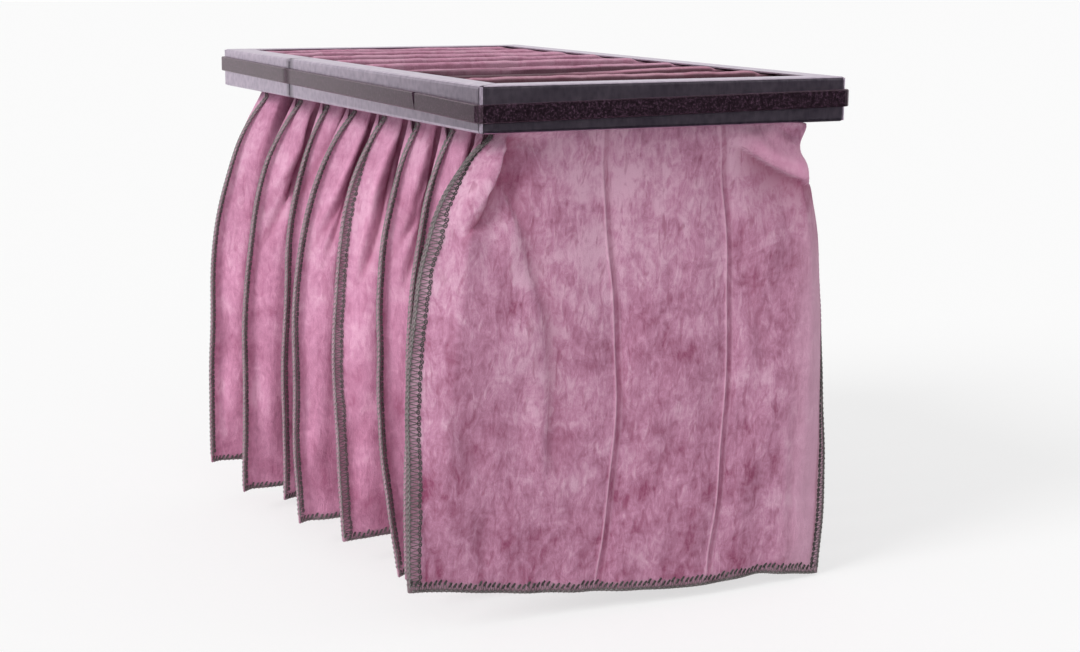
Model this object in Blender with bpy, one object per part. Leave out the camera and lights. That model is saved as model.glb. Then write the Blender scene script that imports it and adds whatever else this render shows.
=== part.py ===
"""Pocket air filter: a folded steel header with eight media pockets hanging from clip bars.

Metres, +Z up. X runs across the header, Y along it, and the dirty-air side is on top.
The origin is on the underside of the front rail, at the middle of its seat, so Z = 0 is
the plane that the header seats on and the pockets hang below it.
"""

import bpy
import bmesh
import numpy as np

# Header: one strip of galvanised sheet, folded to a channel and bent round four corners.
HEADER_WIDTH = 0.228
HEADER_LENGTH = 0.420
HEADER_DEPTH = 0.025
RAIL_FLANGE = 0.017
SHEET = 0.0008
FOLD_RADIUS = 0.0018
CORNER_RADIUS = 0.0025
MITRE_GAP = 0.0004
LAP_FROM_FRONT = 0.286
LAP_LENGTH = 0.016
JOGGLE_LENGTH = 0.0015
TONGUE_LIP = 0.003

# Foam strip stuck round the outside of the header, with its butt joint on the left rail.
GASKET_THICKNESS = 0.002
GASKET_WIDTH = 0.0096
GASKET_JOINT_FROM_FRONT = 0.080
GASKET_JOINT_GAP = 0.0034
GASKET_TOP_AT_JOINT = 0.0166
GASKET_TOP_FRONT_LEFT = 0.0153
GASKET_TOP_FRONT_RIGHT = 0.0180
GASKET_TOP_BACK_RIGHT = 0.0188
GASKET_TOP_BACK_LEFT = 0.0199

# Clip bars: upright U-sections across the header, which hold the edges of the pocket mouths.
POCKET_COUNT = 8
BAR_WIDTH = 0.008
BAR_SHEET = 0.0007

# Pockets: two panels of media, overlocked down both sides and along the hem.
MEDIA = 0.002
EDGE_HALF_THICKNESS = 0.0012
SEWN_HALF_THICKNESS = 0.0026
SEAM_ALLOWANCE = 0.009
TUCK_LENGTH = 0.006
MOUTH_END_CLEARANCE = 0.0065
ROLL_PROUD = 0.0003
ROLL_UNEVEN = 0.0005
ROLL_ROUNDING = 0.0009
ROLL_CROWN = 0.0002
LIP_RISE = 0.0005
NECK_CLEARANCE = 0.0030
SEAM_START = 0.003
POCKET_HANG = 0.265
FLARE_LENGTH = 0.050
PLEAT_DEPTH = 0.006
PLEAT_POSITION = 0.022
QUILT_DIP = 0.0022
SPACER_PITCH = 0.073
SPACER_SHIFT = 0.0105
HEM_WAVE = 0.003

# Shape of the pockets as plain numbers: how far in a panel's side fold lies, in seam
# allowances, at the mouth, the neck and the foot; how much of the taper is straight; and
# how many waves cross the hem and how far they shift from one pocket to the next.
MOUTH_FOLD = 0.2
NECK_FOLD = 0.7
FOOT_FOLD = 2.7
FOLD_SETTLES = 0.5
STRAIGHT_TAPER = 0.55
HEM_WAVES = 1.1
WAVE_SHIFT = 0.35
ROLL_WAVE_ACROSS = 2.3
ROLL_WAVE_SHIFT = 1.9
PLEAT_LIMIT = 0.85
TIP_LIMIT = 0.75
LEAST_SLOPE = 0.001

# How each pocket hangs, from the front one to the back one: how far its left and right
# seams swing out past the neck, how far the foot of the left seam turns back in, and how
# much longer than POCKET_HANG it is at its left and right corners.
LEFT_FLARE = (0.048, 0.029, 0.031, 0.036, 0.047, 0.034, 0.041, 0.052)
RIGHT_FLARE = (0.041, 0.044, 0.046, 0.042, 0.038, 0.041, 0.037, 0.040)
LEFT_TOE_IN = (0.002, 0.000, 0.017, 0.009, 0.006, 0.000, 0.000, 0.000)
LEFT_DROP = (-0.011, -0.003, 0.011, 0.001, 0.000, -0.003, 0.002, -0.008)
RIGHT_DROP = (0.013, 0.003, 0.005, 0.003, -0.001, 0.005, 0.010, -0.003)

# Overlock stitching, a thin sleeve of thread over each sewn edge.
THREAD = 0.0006
STITCH_SHARE = 0.97

# Spacer strips sewn between the two panels of a pocket.
SPACER_THICKNESS = 0.0008

# Clearance kept between pieces that touch.
GAP = 0.0003

# Places worked out from the sizes above.
HALF_WIDTH = HEADER_WIDTH / 2
FRONT = -RAIL_FLANGE / 2
BACK = FRONT + HEADER_LENGTH
FIRST_BAR = FRONT + RAIL_FLANGE
POCKET_PITCH = (HEADER_LENGTH - 2 * RAIL_FLANGE) / POCKET_COUNT
BAR_BOTTOM = SHEET + GAP
BAR_TOP = HEADER_DEPTH - SHEET - MEDIA - 2 * GAP
MOUTH_HALF = (POCKET_PITCH - BAR_WIDTH) / 2 - GAP
NECK_HALF_WIDTH = HALF_WIDTH - RAIL_FLANGE - NECK_CLEARANCE
MOUTH_HALF_WIDTH = HALF_WIDTH - SHEET - MOUTH_END_CLEARANCE
CREST_END = HEADER_DEPTH - SHEET - GAP - LIP_RISE
CREST_RISE = HEADER_DEPTH + ROLL_PROUD - CREST_END

# Columns across one panel, from its left seam to its right seam.
SEAM_COLUMN, SEWN_COLUMN, FOLD_COLUMN, PLEAT_COLUMN, SPACER_COLUMN, MIDDLE_COLUMN = range(6)
COLUMNS = 2 * MIDDLE_COLUMN + 1

# Depths of the rows below the header, as shares of a pocket's length down to its hem seam.
BODY_ROWS = (0.062, 0.135, 0.235, 0.39, 0.61, 0.85, 1.0)
SPACER_ROWS = (2, 3, 4, 5, 6)


def clear_scene():
    """Remove every object that the file opened with."""
    for old in list(bpy.data.objects):
        bpy.data.objects.remove(old, do_unlink=True)


def material(name, colour, roughness, metallic=0.0):
    """A plain Principled material."""
    made = bpy.data.materials.new(name)
    made.use_nodes = True
    shader = made.node_tree.nodes["Principled BSDF"]
    shader.inputs["Base Color"].default_value = (*colour, 1.0)
    shader.inputs["Roughness"].default_value = roughness
    shader.inputs["Metallic"].default_value = metallic
    return made


def solid(name, points, faces, finish, smooth_angle=0.6):
    """One closed object from its points and faces, smooth except at sharp edges."""
    mesh = bpy.data.meshes.new(name)
    mesh.from_pydata([tuple(point) for point in points], [], faces)
    shape = bmesh.new()
    shape.from_mesh(mesh)
    bmesh.ops.recalc_face_normals(shape, faces=shape.faces)
    shape.to_mesh(mesh)
    shape.free()
    mesh.shade_smooth()
    mesh.set_sharp_from_angle(angle=smooth_angle)
    mesh.materials.append(finish)
    made = bpy.data.objects.new(name, mesh)
    bpy.context.scene.collection.objects.link(made)
    return made


def loft(rings, leans=None):
    """Triangles between closed rings, given as an array (ring, point, xyz).

    leans says for each side of the ring which way its quads are split: two skins that face
    each other over a twisted surface run in opposite directions and lean opposite ways, so
    their folds match.
    """
    ring_count, count = rings.shape[:2]
    leans = leans or [1] * count
    faces = []
    for ring in range(ring_count - 1):
        low = ring * count
        high = low + count
        for i in range(count):
            j = (i + 1) % count
            if leans[i] > 0:
                faces.append((low + i, low + j, high + j))
                faces.append((low + i, high + j, high + i))
            else:
                faces.append((low + i, low + j, high + i))
                faces.append((low + j, high + j, high + i))
    return rings.reshape(-1, 3), faces


def smooth_step(value):
    """0 below 0, 1 above 1 and a smooth rise between."""
    t = np.clip(value, 0.0, 1.0)
    return t * t * (3.0 - 2.0 * t)


# Header frame


def channel_rows(inset, lip):
    """Outline of the channel as (inward distance, height), bottom lip to top lip."""
    radius = max(FOLD_RADIUS - inset, GAP)
    eased = radius * (1.0 - np.sqrt(0.5))
    top = HEADER_DEPTH
    return np.array([
        (lip, inset),
        (inset + radius, inset),
        (inset + eased, inset + eased),
        (inset, inset + radius),
        (inset, top - inset - radius),
        (inset + eased, top - inset - eased),
        (inset + radius, top - inset),
        (lip, top - inset),
    ])


def header_sides():
    """Each straight run of the strip as (corner, direction, length, stations along it).

    A station is (distance from the corner, how far its skin is tucked in, lip width).
    The strip starts at its lap on the left rail and ends in a tongue behind that start.
    """
    to_lap = HEADER_LENGTH - LAP_FROM_FRONT
    tucked = SHEET + GAP
    full = RAIL_FLANGE

    def run(length):
        return [(CORNER_RADIUS, 0.0, full), (length - CORNER_RADIUS, 0.0, full)]

    left = ((-HALF_WIDTH, BACK), (0.0, -1.0), HEADER_LENGTH)
    tongue = [
        (CORNER_RADIUS, 0.0, full),
        (to_lap - GAP - 2 * JOGGLE_LENGTH, 0.0, full),
        (to_lap - GAP - JOGGLE_LENGTH, 0.0, TONGUE_LIP),
        (to_lap - GAP, tucked, TONGUE_LIP),
        (to_lap + LAP_LENGTH, tucked, TONGUE_LIP),
    ]
    return [
        (*left, [(to_lap, 0.0, full), (HEADER_LENGTH - CORNER_RADIUS, 0.0, full)]),
        ((-HALF_WIDTH, FRONT), (1.0, 0.0), HEADER_WIDTH, run(HEADER_WIDTH)),
        ((HALF_WIDTH, FRONT), (0.0, 1.0), HEADER_LENGTH, run(HEADER_LENGTH)),
        ((HALF_WIDTH, BACK), (-1.0, 0.0), HEADER_WIDTH, run(HEADER_WIDTH)),
        (*left, tongue),
    ]


def header_surface(offset):
    """The strip's skin, moved inward by offset: a channel on each run, the web round each bend.

    The lips end in mitres, and at a bend the web stands clear of them in a relief notch.
    """
    points = []
    faces = []
    web = None
    for corner, direction, length, stations in header_sides():
        corner = np.array(corner)
        ahead = np.array(direction)
        inward = np.array((-ahead[1], ahead[0]))
        if web:
            centre = corner + (ahead + inward) * CORNER_RADIUS
            for angle in np.linspace(0.0, np.pi / 2, 5)[1:-1]:
                reach = -inward * np.sin(angle) - ahead * np.cos(angle)
                plan = centre + reach * (CORNER_RADIUS - offset)
                bend = (len(points), len(points) + 1)
                points.append((*plan, FOLD_RADIUS / 3))
                points.append((*plan, HEADER_DEPTH - FOLD_RADIUS / 3))
                faces.append((web[0], bend[0], bend[1], web[1]))
                web = bend
        mitre = RAIL_FLANGE + MITRE_GAP
        previous = None
        for along, inset, lip in stations:
            rows = channel_rows(inset + offset, lip)
            distance = np.full(len(rows), along)
            distance[[0, -1]] = np.clip(along, mitre, length - mitre)
            first = len(points)
            for (reach, height), forward in zip(rows, distance):
                points.append((*(corner + ahead * forward + inward * reach), height))
            if previous is not None:
                for row in range(len(rows) - 1):
                    here = first + row
                    before = previous + row
                    faces.append((before, here, here + 1, before + 1))
            elif web:
                faces.append((web[0], first + 3, first + 4, web[1]))
            previous = first
        web = (previous + 3, previous + 4)
    return np.array(points), faces


def thicken(outer, inner, faces):
    """Close two matching skins with a rim along every free edge."""
    count = len(outer)
    uses = {}
    for face in faces:
        for a, b in zip(face, face[1:] + face[:1]):
            uses.setdefault(frozenset((a, b)), []).append((a, b))
    closed = list(faces)
    closed += [tuple(count + corner for corner in reversed(face)) for face in faces]
    for sides in uses.values():
        if len(sides) == 1:
            a, b = sides[0]
            closed.append((b, a, count + a, count + b))
    return np.vstack((outer, inner)), closed


def make_header(finish):
    """The folded channel with mitred lips, relieved corners and a lapped joint."""
    outer, faces = header_surface(0.0)
    inner, _ = header_surface(SHEET)
    points, closed = thicken(outer, inner, faces)
    return solid("header_frame", points, closed, finish)


# Gasket


def gasket_stations():
    """Plan point, outward direction and top height along the foam strip."""
    joint = FRONT + GASKET_JOINT_FROM_FRONT
    corners = [
        (-HALF_WIDTH, FRONT, GASKET_TOP_FRONT_LEFT, np.pi),
        (HALF_WIDTH, FRONT, GASKET_TOP_FRONT_RIGHT, 1.5 * np.pi),
        (HALF_WIDTH, BACK, GASKET_TOP_BACK_RIGHT, 0.0),
        (-HALF_WIDTH, BACK, GASKET_TOP_BACK_LEFT, 0.5 * np.pi),
    ]
    stations = [((-HALF_WIDTH, joint), (-1.0, 0.0), GASKET_TOP_AT_JOINT)]
    for x, y, top, start in corners:
        centre = np.array((x - np.sign(x) * CORNER_RADIUS, y - np.sign(y - joint) * CORNER_RADIUS))
        for angle in np.linspace(start, start + np.pi / 2, 5):
            outward = np.array((np.cos(angle), np.sin(angle)))
            stations.append((centre + outward * CORNER_RADIUS, outward, top))
    stations.append(((-HALF_WIDTH, joint + GAP), (-1.0, 0.0), GASKET_TOP_AT_JOINT))
    return stations


def make_gasket(finish):
    """A soft strip of near-square section that follows the web, a little crooked."""
    rings = []
    stations = gasket_stations()
    easing = GASKET_THICKNESS / 4
    for plan, outward, top in stations:
        plan = np.array(plan)
        outward = np.array(outward)
        low = top - GASKET_WIDTH
        near = GAP
        far = GAP + GASKET_THICKNESS
        profile = [(near, low), (far - easing, low), (far, low + easing)]
        profile += [(far, top - easing), (far - easing, top), (near, top)]
        ring = [(*(plan + outward * reach), height) for reach, height in profile]
        rings.append(ring)
    rings = np.array(rings)
    open_share = (rings[-1][:, 2] - rings[-1][:, 2].min()) / GASKET_WIDTH
    rings[-1][:, 1] += GASKET_JOINT_GAP * open_share
    points, faces = loft(rings)
    count = rings.shape[1]
    faces.append(tuple(range(count)))
    faces.append(tuple(len(points) - count + i for i in range(count)))
    return solid("gasket_strip", points, faces, finish)


# Clip bars


def bar_place(index):
    """Y of a clip bar's centre."""
    return FIRST_BAR + index * POCKET_PITCH


def make_clip_bar(index, finish):
    """An upright U-section that spans the header and seats on its lower lips."""
    half = BAR_WIDTH / 2
    radius = 2 * BAR_SHEET

    def profile(bend_radius, leg):
        """Outline from the right leg's top, round the bottom, to the left leg's top."""
        left = [(-leg, BAR_TOP)]
        for turn in np.linspace(np.pi, 1.5 * np.pi, 3):
            y = -half + radius + bend_radius * np.cos(turn)
            z = BAR_BOTTOM + radius + bend_radius * np.sin(turn)
            left.append((y, z))
        return [(-y, z) for y, z in left] + left[::-1]

    skin = profile(radius, half)
    core = profile(radius - BAR_SHEET, half - BAR_SHEET)
    end = HALF_WIDTH - SHEET - GAP
    y_centre = bar_place(index)
    count = len(skin)
    points = []
    for x in (-end, end):
        points += [(x, y_centre + y, z) for y, z in skin]
        points += [(x, y_centre + y, z) for y, z in core]
    faces = []
    far = 2 * count
    for i in range(count - 1):
        faces.append((i, i + 1, far + i + 1, far + i))
        faces.append((count + i, far + count + i, far + count + i + 1, count + i + 1))
        for start in (0, far):
            faces.append((start + i, start + count + i, start + count + i + 1, start + i + 1))
    for i in (0, count - 1):
        faces.append((i, count + i, far + count + i, far + i))
    return solid(f"clip_bar_{index + 1}", points, faces, finish)


# Pockets


class Pocket:
    """Shape of one pocket: sections of its outer and inner skins, from mouth to hem."""

    def __init__(self, index):
        self.index = index
        self.middle = (bar_place(index) + bar_place(index + 1)) / 2
        self.phase = WAVE_SHIFT * index

    def depth(self, share):
        """Length below the header at a share of the width, left to right."""
        left = LEFT_DROP[self.index] * (1.0 - share) ** 2
        right = RIGHT_DROP[self.index] * share
        return POCKET_HANG + left + right

    def seam(self, down, side):
        """X of a side seam at a distance down from the header."""
        flare = (LEFT_FLARE if side < 0 else RIGHT_FLARE)[self.index]
        toe = LEFT_TOE_IN[self.index] if side < 0 else 0.0
        swing = flare * (1.0 - np.exp(-max(down - SEAM_START, 0.0) / FLARE_LENGTH))
        return side * (NECK_HALF_WIDTH + swing - toe * (down / POCKET_HANG) ** 3)

    def half_thickness(self, down):
        """Half the pocket's thickness between its spacers, at a distance down."""
        share = np.clip(down / (POCKET_HANG - SEAM_ALLOWANCE), 0.0, 1.0)
        eased = 1.0 - STRAIGHT_TAPER * share - (1.0 - STRAIGHT_TAPER) * share ** 3
        return SEWN_HALF_THICKNESS + (MOUTH_HALF - SEWN_HALF_THICKNESS) * eased

    def outline(self, left, right, fold_inset, pleat_inset, thick, pleat=0.0, dip=0.0):
        """Section of the outer skin: X and half thickness at each column."""
        edge = EDGE_HALF_THICKNESS
        slant = np.hypot(fold_inset, thick - edge)
        share = SEAM_ALLOWANCE / max(slant, 2 * SEAM_ALLOWANCE)
        sewn = max(edge + (thick - edge) * share, min(SEWN_HALF_THICKNESS, thick))
        half_columns = np.array((edge, sewn, thick, thick - pleat, thick - dip))
        half = np.hstack((half_columns, thick, half_columns[::-1]))
        x = np.full(COLUMNS, SPACER_SHIFT)
        for tip, inward in ((left, 1), (right, -1)):
            spacer = SPACER_SHIFT - inward * SPACER_PITCH / 2
            fold = tip + inward * fold_inset
            pleat_share = min(pleat_inset / abs(spacer - fold), PLEAT_LIMIT)
            from_seam = (
                tip,
                tip + inward * fold_inset * share,
                fold,
                fold + (spacer - fold) * pleat_share,
                spacer,
            )
            if inward > 0:
                x[:MIDDLE_COLUMN] = from_seam
            else:
                x[MIDDLE_COLUMN + 1:] = from_seam[::-1]
        return x, half

    def header_section(self, height):
        """Outer section inside the header, flared under the lips at its ends."""
        rise = smooth_step(height / BAR_TOP)
        reach = NECK_HALF_WIDTH + (MOUTH_HALF_WIDTH - NECK_HALF_WIDTH) * rise
        blunt = SEAM_ALLOWANCE * (NECK_FOLD + (MOUTH_FOLD - NECK_FOLD) * rise)
        under_lip = MOUTH_HALF_WIDTH - (HALF_WIDTH - RAIL_FLANGE)
        slow = under_lip * CREST_RISE / LIP_RISE
        pleat_inset = PLEAT_POSITION + (slow - PLEAT_POSITION) * rise
        return self.outline(-reach, reach, blunt, pleat_inset, MOUTH_HALF)

    def body_section(self, down):
        """Outer section at a distance down from the header."""
        left = self.seam(down, -1.0)
        right = self.seam(down, 1.0)
        settled = smooth_step(down / (FOLD_SETTLES * POCKET_HANG))
        fold_inset = SEAM_ALLOWANCE * (NECK_FOLD + (FOOT_FOLD - NECK_FOLD) * settled)
        thick = self.half_thickness(down)
        fall = down / PLEAT_POSITION
        pleat = PLEAT_DEPTH * fall * np.exp(1.0 - fall)
        dip = QUILT_DIP * smooth_step(down / FLARE_LENGTH) * (thick / MOUTH_HALF)
        return self.outline(left, right, fold_inset, PLEAT_POSITION, thick, pleat, dip)

    def ring(self, x, front, back, z):
        """One ring of points: the front panel left to right, then the back one in return."""
        share = (x - x.min()) / (x.max() - x.min())
        sway = self.sway(share, np.maximum(-z, 0.0))
        ahead = np.stack((x, self.middle + sway - front, z), axis=1)
        behind = np.stack((x, self.middle + sway + back, z), axis=1)
        return np.vstack((ahead, behind[::-1]))

    def sway(self, share, down):
        """Gentle wave of the hanging panels, nothing at the header and most at the hem."""
        turn = 2.0 * np.pi * (HEM_WAVES * share + self.phase)
        hung = (down / POCKET_HANG) ** 2
        return HEM_WAVE * hung * (np.sin(turn) - np.sin(2.0 * np.pi * self.phase))

    def shrink(self, x, half, edge):
        """Section moved inward by the media's thickness, with its tips behind the seams."""
        dx = np.gradient(x)
        dh = np.gradient(half)
        length = np.hypot(dx, dh)
        inner_x = x + MEDIA * dh / length
        inner_half = half - MEDIA * dx / length
        for tip, sewn, inward in ((0, 1, 1.0), (-1, -2, -1.0)):
            run = np.hypot(x[sewn] - x[tip], half[sewn] - half[tip])
            slope = max((half[sewn] - half[tip]) / run, LEAST_SLOPE)
            inset = min(MEDIA / slope, TIP_LIMIT * abs(inner_x[sewn] - x[tip]))
            inner_x[tip] = x[tip] + inward * inset
            inner_half[tip] = edge
        return inner_x, np.maximum(inner_half, edge)

    def rolled(self, reach):
        """Section at the top of the header, moved outward by reach, as ring X and half."""
        x, half = self.header_section(BAR_TOP)
        dx = np.gradient(x)
        dh = np.gradient(half)
        length = np.hypot(dx, dh)
        out_x = x - reach * dh / length
        out_half = half + reach * dx / length
        out_x[0] = x[0] - reach
        out_x[-1] = x[-1] + reach
        out_half[0] = half[0]
        out_half[-1] = half[-1]
        for corner in (FOLD_COLUMN, COLUMNS - 1 - FOLD_COLUMN):
            out_half[corner] = half[corner] + reach
        return out_x, out_half

    def rings(self):
        """Rings of the whole pocket from the outer hem, over the mouth, to the inner hem."""
        long_side = np.zeros(COLUMNS)
        long_side[PLEAT_COLUMN:COLUMNS - PLEAT_COLUMN] = 1.0
        under = BAR_TOP + GAP
        tuck = under - TUCK_LENGTH * long_side
        lifted = under + GAP * (1.0 - long_side)
        wave = ROLL_WAVE_ACROSS * np.arange(COLUMNS) + ROLL_WAVE_SHIFT * self.index
        crest = CREST_END + (CREST_RISE + ROLL_UNEVEN * (np.sin(wave) - 1.0)) * long_side
        hook = GAP + BAR_SHEET + GAP
        outside = hook + MEDIA

        x, half = self.header_section(SHEET + GAP)
        flat = np.full(COLUMNS, SHEET + GAP)
        outer = [self.ring(x, half, half, flat)]
        inner_x, inner_half = self.shrink(x, half, GAP)
        inner = [self.ring(inner_x, inner_half, inner_half, flat)]
        for share in (SEAM_START / POCKET_HANG, *BODY_ROWS):
            down = share * (POCKET_HANG - SEAM_ALLOWANCE)
            x, half = self.body_section(down)
            across = (x - x.min()) / (x.max() - x.min())
            z = -share * (self.depth(across) - SEAM_ALLOWANCE)
            outer.append(self.ring(x, half, half, z))
            inner_x, inner_half = self.shrink(x, half, GAP)
            inner.append(self.ring(inner_x, inner_half, inner_half, z))
        x, half = self.body_section(POCKET_HANG)
        across = (x - x.min()) / (x.max() - x.min())
        edge = np.full(COLUMNS, EDGE_HALF_THICKNESS)
        hem = -self.depth(across)
        outer.append(self.ring(x, edge, edge, hem))
        inner_x, _ = self.shrink(x, half, GAP)
        bare = np.full(COLUMNS, GAP)
        inner.append(self.ring(inner_x, bare, bare, hem + TIP_LIMIT * SEAM_ALLOWANCE))

        x, half = self.header_section(BAR_TOP)
        mouth_x, mouth_half = self.shrink(x, half, GAP)
        roll = [self.ring(x, half, half, np.full(COLUMNS, under))]
        for reach, z in (
            (hook, lifted),
            (hook, tuck),
            (outside, tuck),
            (outside, np.maximum(crest - ROLL_ROUNDING, lifted + GAP)),
            (outside - ROLL_ROUNDING, crest),
        ):
            wide_x, wide_half = self.rolled(reach)
            roll.append(self.ring(wide_x, wide_half, wide_half, z))
        roll.append(self.ring(x, half, half, crest + ROLL_CROWN * long_side))
        roll.append(self.ring(mouth_x, mouth_half, mouth_half, crest - 2 * ROLL_ROUNDING))
        return outer[::-1], roll, inner

    def points_and_faces(self):
        """The closed pocket: its rings lofted, and both hems closed across."""
        outer, roll, inner = self.rings()
        rings = np.array(outer + roll + inner)
        points, faces = loft(rings)
        count = rings.shape[1]
        last = len(points) - count
        for i in range(COLUMNS - 1):
            faces.append((i, i + 1, count - 2 - i, count - 1 - i))
            faces.append((last + i, last + count - 1 - i, last + count - 2 - i, last + i + 1))
        return points, faces


def make_pocket(index, finish):
    """One open-mouthed pocket."""
    points, faces = Pocket(index).points_and_faces()
    return solid(f"pocket_{index + 1}", points, faces, finish, smooth_angle=0.9)


def unit(vectors):
    """Rows scaled to length 1."""
    return vectors / np.linalg.norm(vectors, axis=-1, keepdims=True)


def make_edge_stitching(index, finish):
    """A sleeve of thread that follows a pocket down one side, along the hem and up the other."""
    outer, _, _ = Pocket(index).rings()
    grid = np.array(outer[::-1][1:])
    ahead = grid[:, :COLUMNS]
    behind = grid[:, COLUMNS:][:, ::-1]
    hem = len(grid) - 1
    sides = list(range(0, hem - 1))
    right = COLUMNS - 1
    route = [((row, 0), (row, 1), 1.0) for row in sides]
    route.append(((hem, 0), (hem - 1, 1), np.sqrt(2.0)))
    route += [((hem, column), (hem - 1, column), 1.0) for column in range(2, right - 1)]
    route.append(((hem, right), (hem - 1, right - 1), np.sqrt(2.0)))
    route += [((row, right), (row, right - 1), 1.0) for row in sides[::-1]]
    edges = [ahead, behind]
    at_edge = [np.array([panel[edge] for edge, _, _ in route]) for panel in edges]
    at_sewn = [np.array([panel[sewn] for _, sewn, _ in route]) for panel in edges]
    stretch = np.array([scale for _, _, scale in route])[:, None]
    inward = unit((at_sewn[0] + at_sewn[1]) / 2 - (at_edge[0] + at_edge[1]) / 2)
    along = unit(np.gradient((at_edge[0] + at_edge[1]) / 2, axis=0))
    rows = {}
    for side in (0, 1):
        leg = at_sewn[side] - at_edge[side]
        normal = unit(np.cross(along, leg))
        apart = at_edge[side] - at_edge[1 - side]
        normal *= np.sign(np.sum(normal * apart, axis=1, keepdims=True))
        for skin, lift in (("inner", GAP), ("outer", GAP + THREAD)):
            rows[skin, side, "edge"] = at_edge[side] + normal * lift - inward * lift * stretch
            rows[skin, side, "leg"] = at_edge[side] + leg * STITCH_SHARE + normal * lift
    order = [
        ("outer", 0, "leg"), ("outer", 0, "edge"), ("outer", 1, "edge"), ("outer", 1, "leg"),
        ("inner", 1, "leg"), ("inner", 1, "edge"), ("inner", 0, "edge"), ("inner", 0, "leg"),
    ]
    rings = np.stack([rows[key] for key in order], axis=1)
    leans = [1 if skin == "outer" else -1 for skin, _, _ in order]
    points, faces = loft(rings, leans)
    last = len(points) - len(order)
    for start in (0, last):
        faces.append((start, start + 1, start + 6, start + 7))
        faces.append((start + 1, start + 2, start + 5, start + 6))
        faces.append((start + 2, start + 3, start + 4, start + 5))
    return solid(f"edge_stitching_{index + 1}", points, faces, finish)


def make_spacer(index, side, finish):
    """A strip of media that ties a pocket's front panel to its back one."""
    _, _, inner = Pocket(index).rings()
    column = SPACER_COLUMN if side == "left" else COLUMNS - 1 - SPACER_COLUMN
    facing = 2 * COLUMNS - 1 - column
    rings = []
    for row in SPACER_ROWS:
        ahead = inner[row + 1][column]
        behind = inner[row + 1][facing]
        thin = SPACER_THICKNESS / 2
        near = ahead + (0.0, GAP, 0.0)
        far = behind - (0.0, GAP, 0.0)
        rings.append([near - (thin, 0, 0), near + (thin, 0, 0), far + (thin, 0, 0), far - (thin, 0, 0)])
    points, faces = loft(np.array(rings))
    last = len(points) - 4
    faces.append((0, 1, 2, 3))
    faces.append((last, last + 1, last + 2, last + 3))
    return solid(f"spacer_{side}_{index + 1}", points, faces, finish)


def main():
    """Build every piece of the filter."""
    clear_scene()
    steel = material("galvanised_steel", (0.42, 0.42, 0.46), 0.38, 1.0)
    bar_steel = material("bar_steel", (0.48, 0.47, 0.49), 0.42, 1.0)
    foam = material("black_foam", (0.035, 0.028, 0.034), 0.9)
    media = material("pink_media", (0.58, 0.30, 0.42), 0.95)
    thread = material("overlock_thread", (0.20, 0.22, 0.20), 0.8)
    web = material("spacer_media", (0.66, 0.42, 0.52), 0.95)
    make_header(steel)
    make_gasket(foam)
    for index in range(POCKET_COUNT + 1):
        make_clip_bar(index, bar_steel)
    for index in range(POCKET_COUNT):
        make_pocket(index, media)
        make_edge_stitching(index, thread)
        for side in ("left", "right"):
            make_spacer(index, side, web)


main()
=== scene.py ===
"""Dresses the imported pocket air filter: its pockets, thread, steel and foam, and a pale stage.

Metres, +Z up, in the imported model's own frame: X runs across the header, Y along it, and the
plane Z = 0 is the underside of the header, so the pockets hang below it.
"""

import math

import bpy
import numpy as np
from bpy.props import FloatProperty, FloatVectorProperty, PointerProperty
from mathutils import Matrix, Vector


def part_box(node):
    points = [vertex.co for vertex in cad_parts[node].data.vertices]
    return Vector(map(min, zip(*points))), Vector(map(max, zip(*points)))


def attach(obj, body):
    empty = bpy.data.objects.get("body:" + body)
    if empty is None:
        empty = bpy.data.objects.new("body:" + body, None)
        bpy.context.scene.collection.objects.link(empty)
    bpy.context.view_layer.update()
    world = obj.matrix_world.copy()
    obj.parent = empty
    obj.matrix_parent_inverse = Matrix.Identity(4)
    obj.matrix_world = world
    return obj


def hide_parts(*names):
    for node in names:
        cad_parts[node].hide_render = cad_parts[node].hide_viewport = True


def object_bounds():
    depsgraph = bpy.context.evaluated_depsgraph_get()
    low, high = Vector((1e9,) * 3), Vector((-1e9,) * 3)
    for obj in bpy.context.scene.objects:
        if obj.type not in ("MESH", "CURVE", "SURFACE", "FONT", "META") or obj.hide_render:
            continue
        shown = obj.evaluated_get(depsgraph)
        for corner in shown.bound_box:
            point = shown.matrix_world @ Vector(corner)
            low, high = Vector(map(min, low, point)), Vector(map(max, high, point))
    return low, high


bl_info = {
    "name": "Pocket air filter",
    "version": (1, 0, 0),
    "blender": (4, 5, 0),
    "location": "View3D > Sidebar > Air filter",
    "description": "Media pockets, overlock thread, galvanised steel and foam for a packed pocket filter",
    "category": "Object",
}

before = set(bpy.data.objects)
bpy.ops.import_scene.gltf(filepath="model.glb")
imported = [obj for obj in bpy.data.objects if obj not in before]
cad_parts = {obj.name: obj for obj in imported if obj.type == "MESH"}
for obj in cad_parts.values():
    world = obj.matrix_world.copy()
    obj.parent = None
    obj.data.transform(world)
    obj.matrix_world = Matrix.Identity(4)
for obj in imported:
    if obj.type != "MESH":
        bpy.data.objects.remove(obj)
CAD_BOX = [list(corner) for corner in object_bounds()]
HEADER_LOW, HEADER_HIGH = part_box("header_frame")
POCKET_NODES = sorted(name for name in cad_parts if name.startswith("pocket_"))
POCKET_COUNT = len(POCKET_NODES)


def bar_centre(number):
    """Y of a clip bar's middle."""
    low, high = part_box(f"clip_bar_{number}")
    return (low.y + high.y) / 2


# Places read from the frame.
HALF_WIDTH = HEADER_HIGH.x
HEADER_DEPTH = HEADER_HIGH.z
BAR_CENTRES = [bar_centre(number) for number in range(1, POCKET_COUNT + 2)]
BAR_LOW, BAR_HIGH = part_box("clip_bar_1")
BAR_TOP = BAR_HIGH.z
LIP_EDGE = HALF_WIDTH - (BAR_CENTRES[0] - HEADER_LOW.y)

# Sheet thicknesses, and the gap left between pieces.
CLEARANCE = 0.0003
SHEET_METAL = 0.0008
BAR_SHEET = 0.0007

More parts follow.
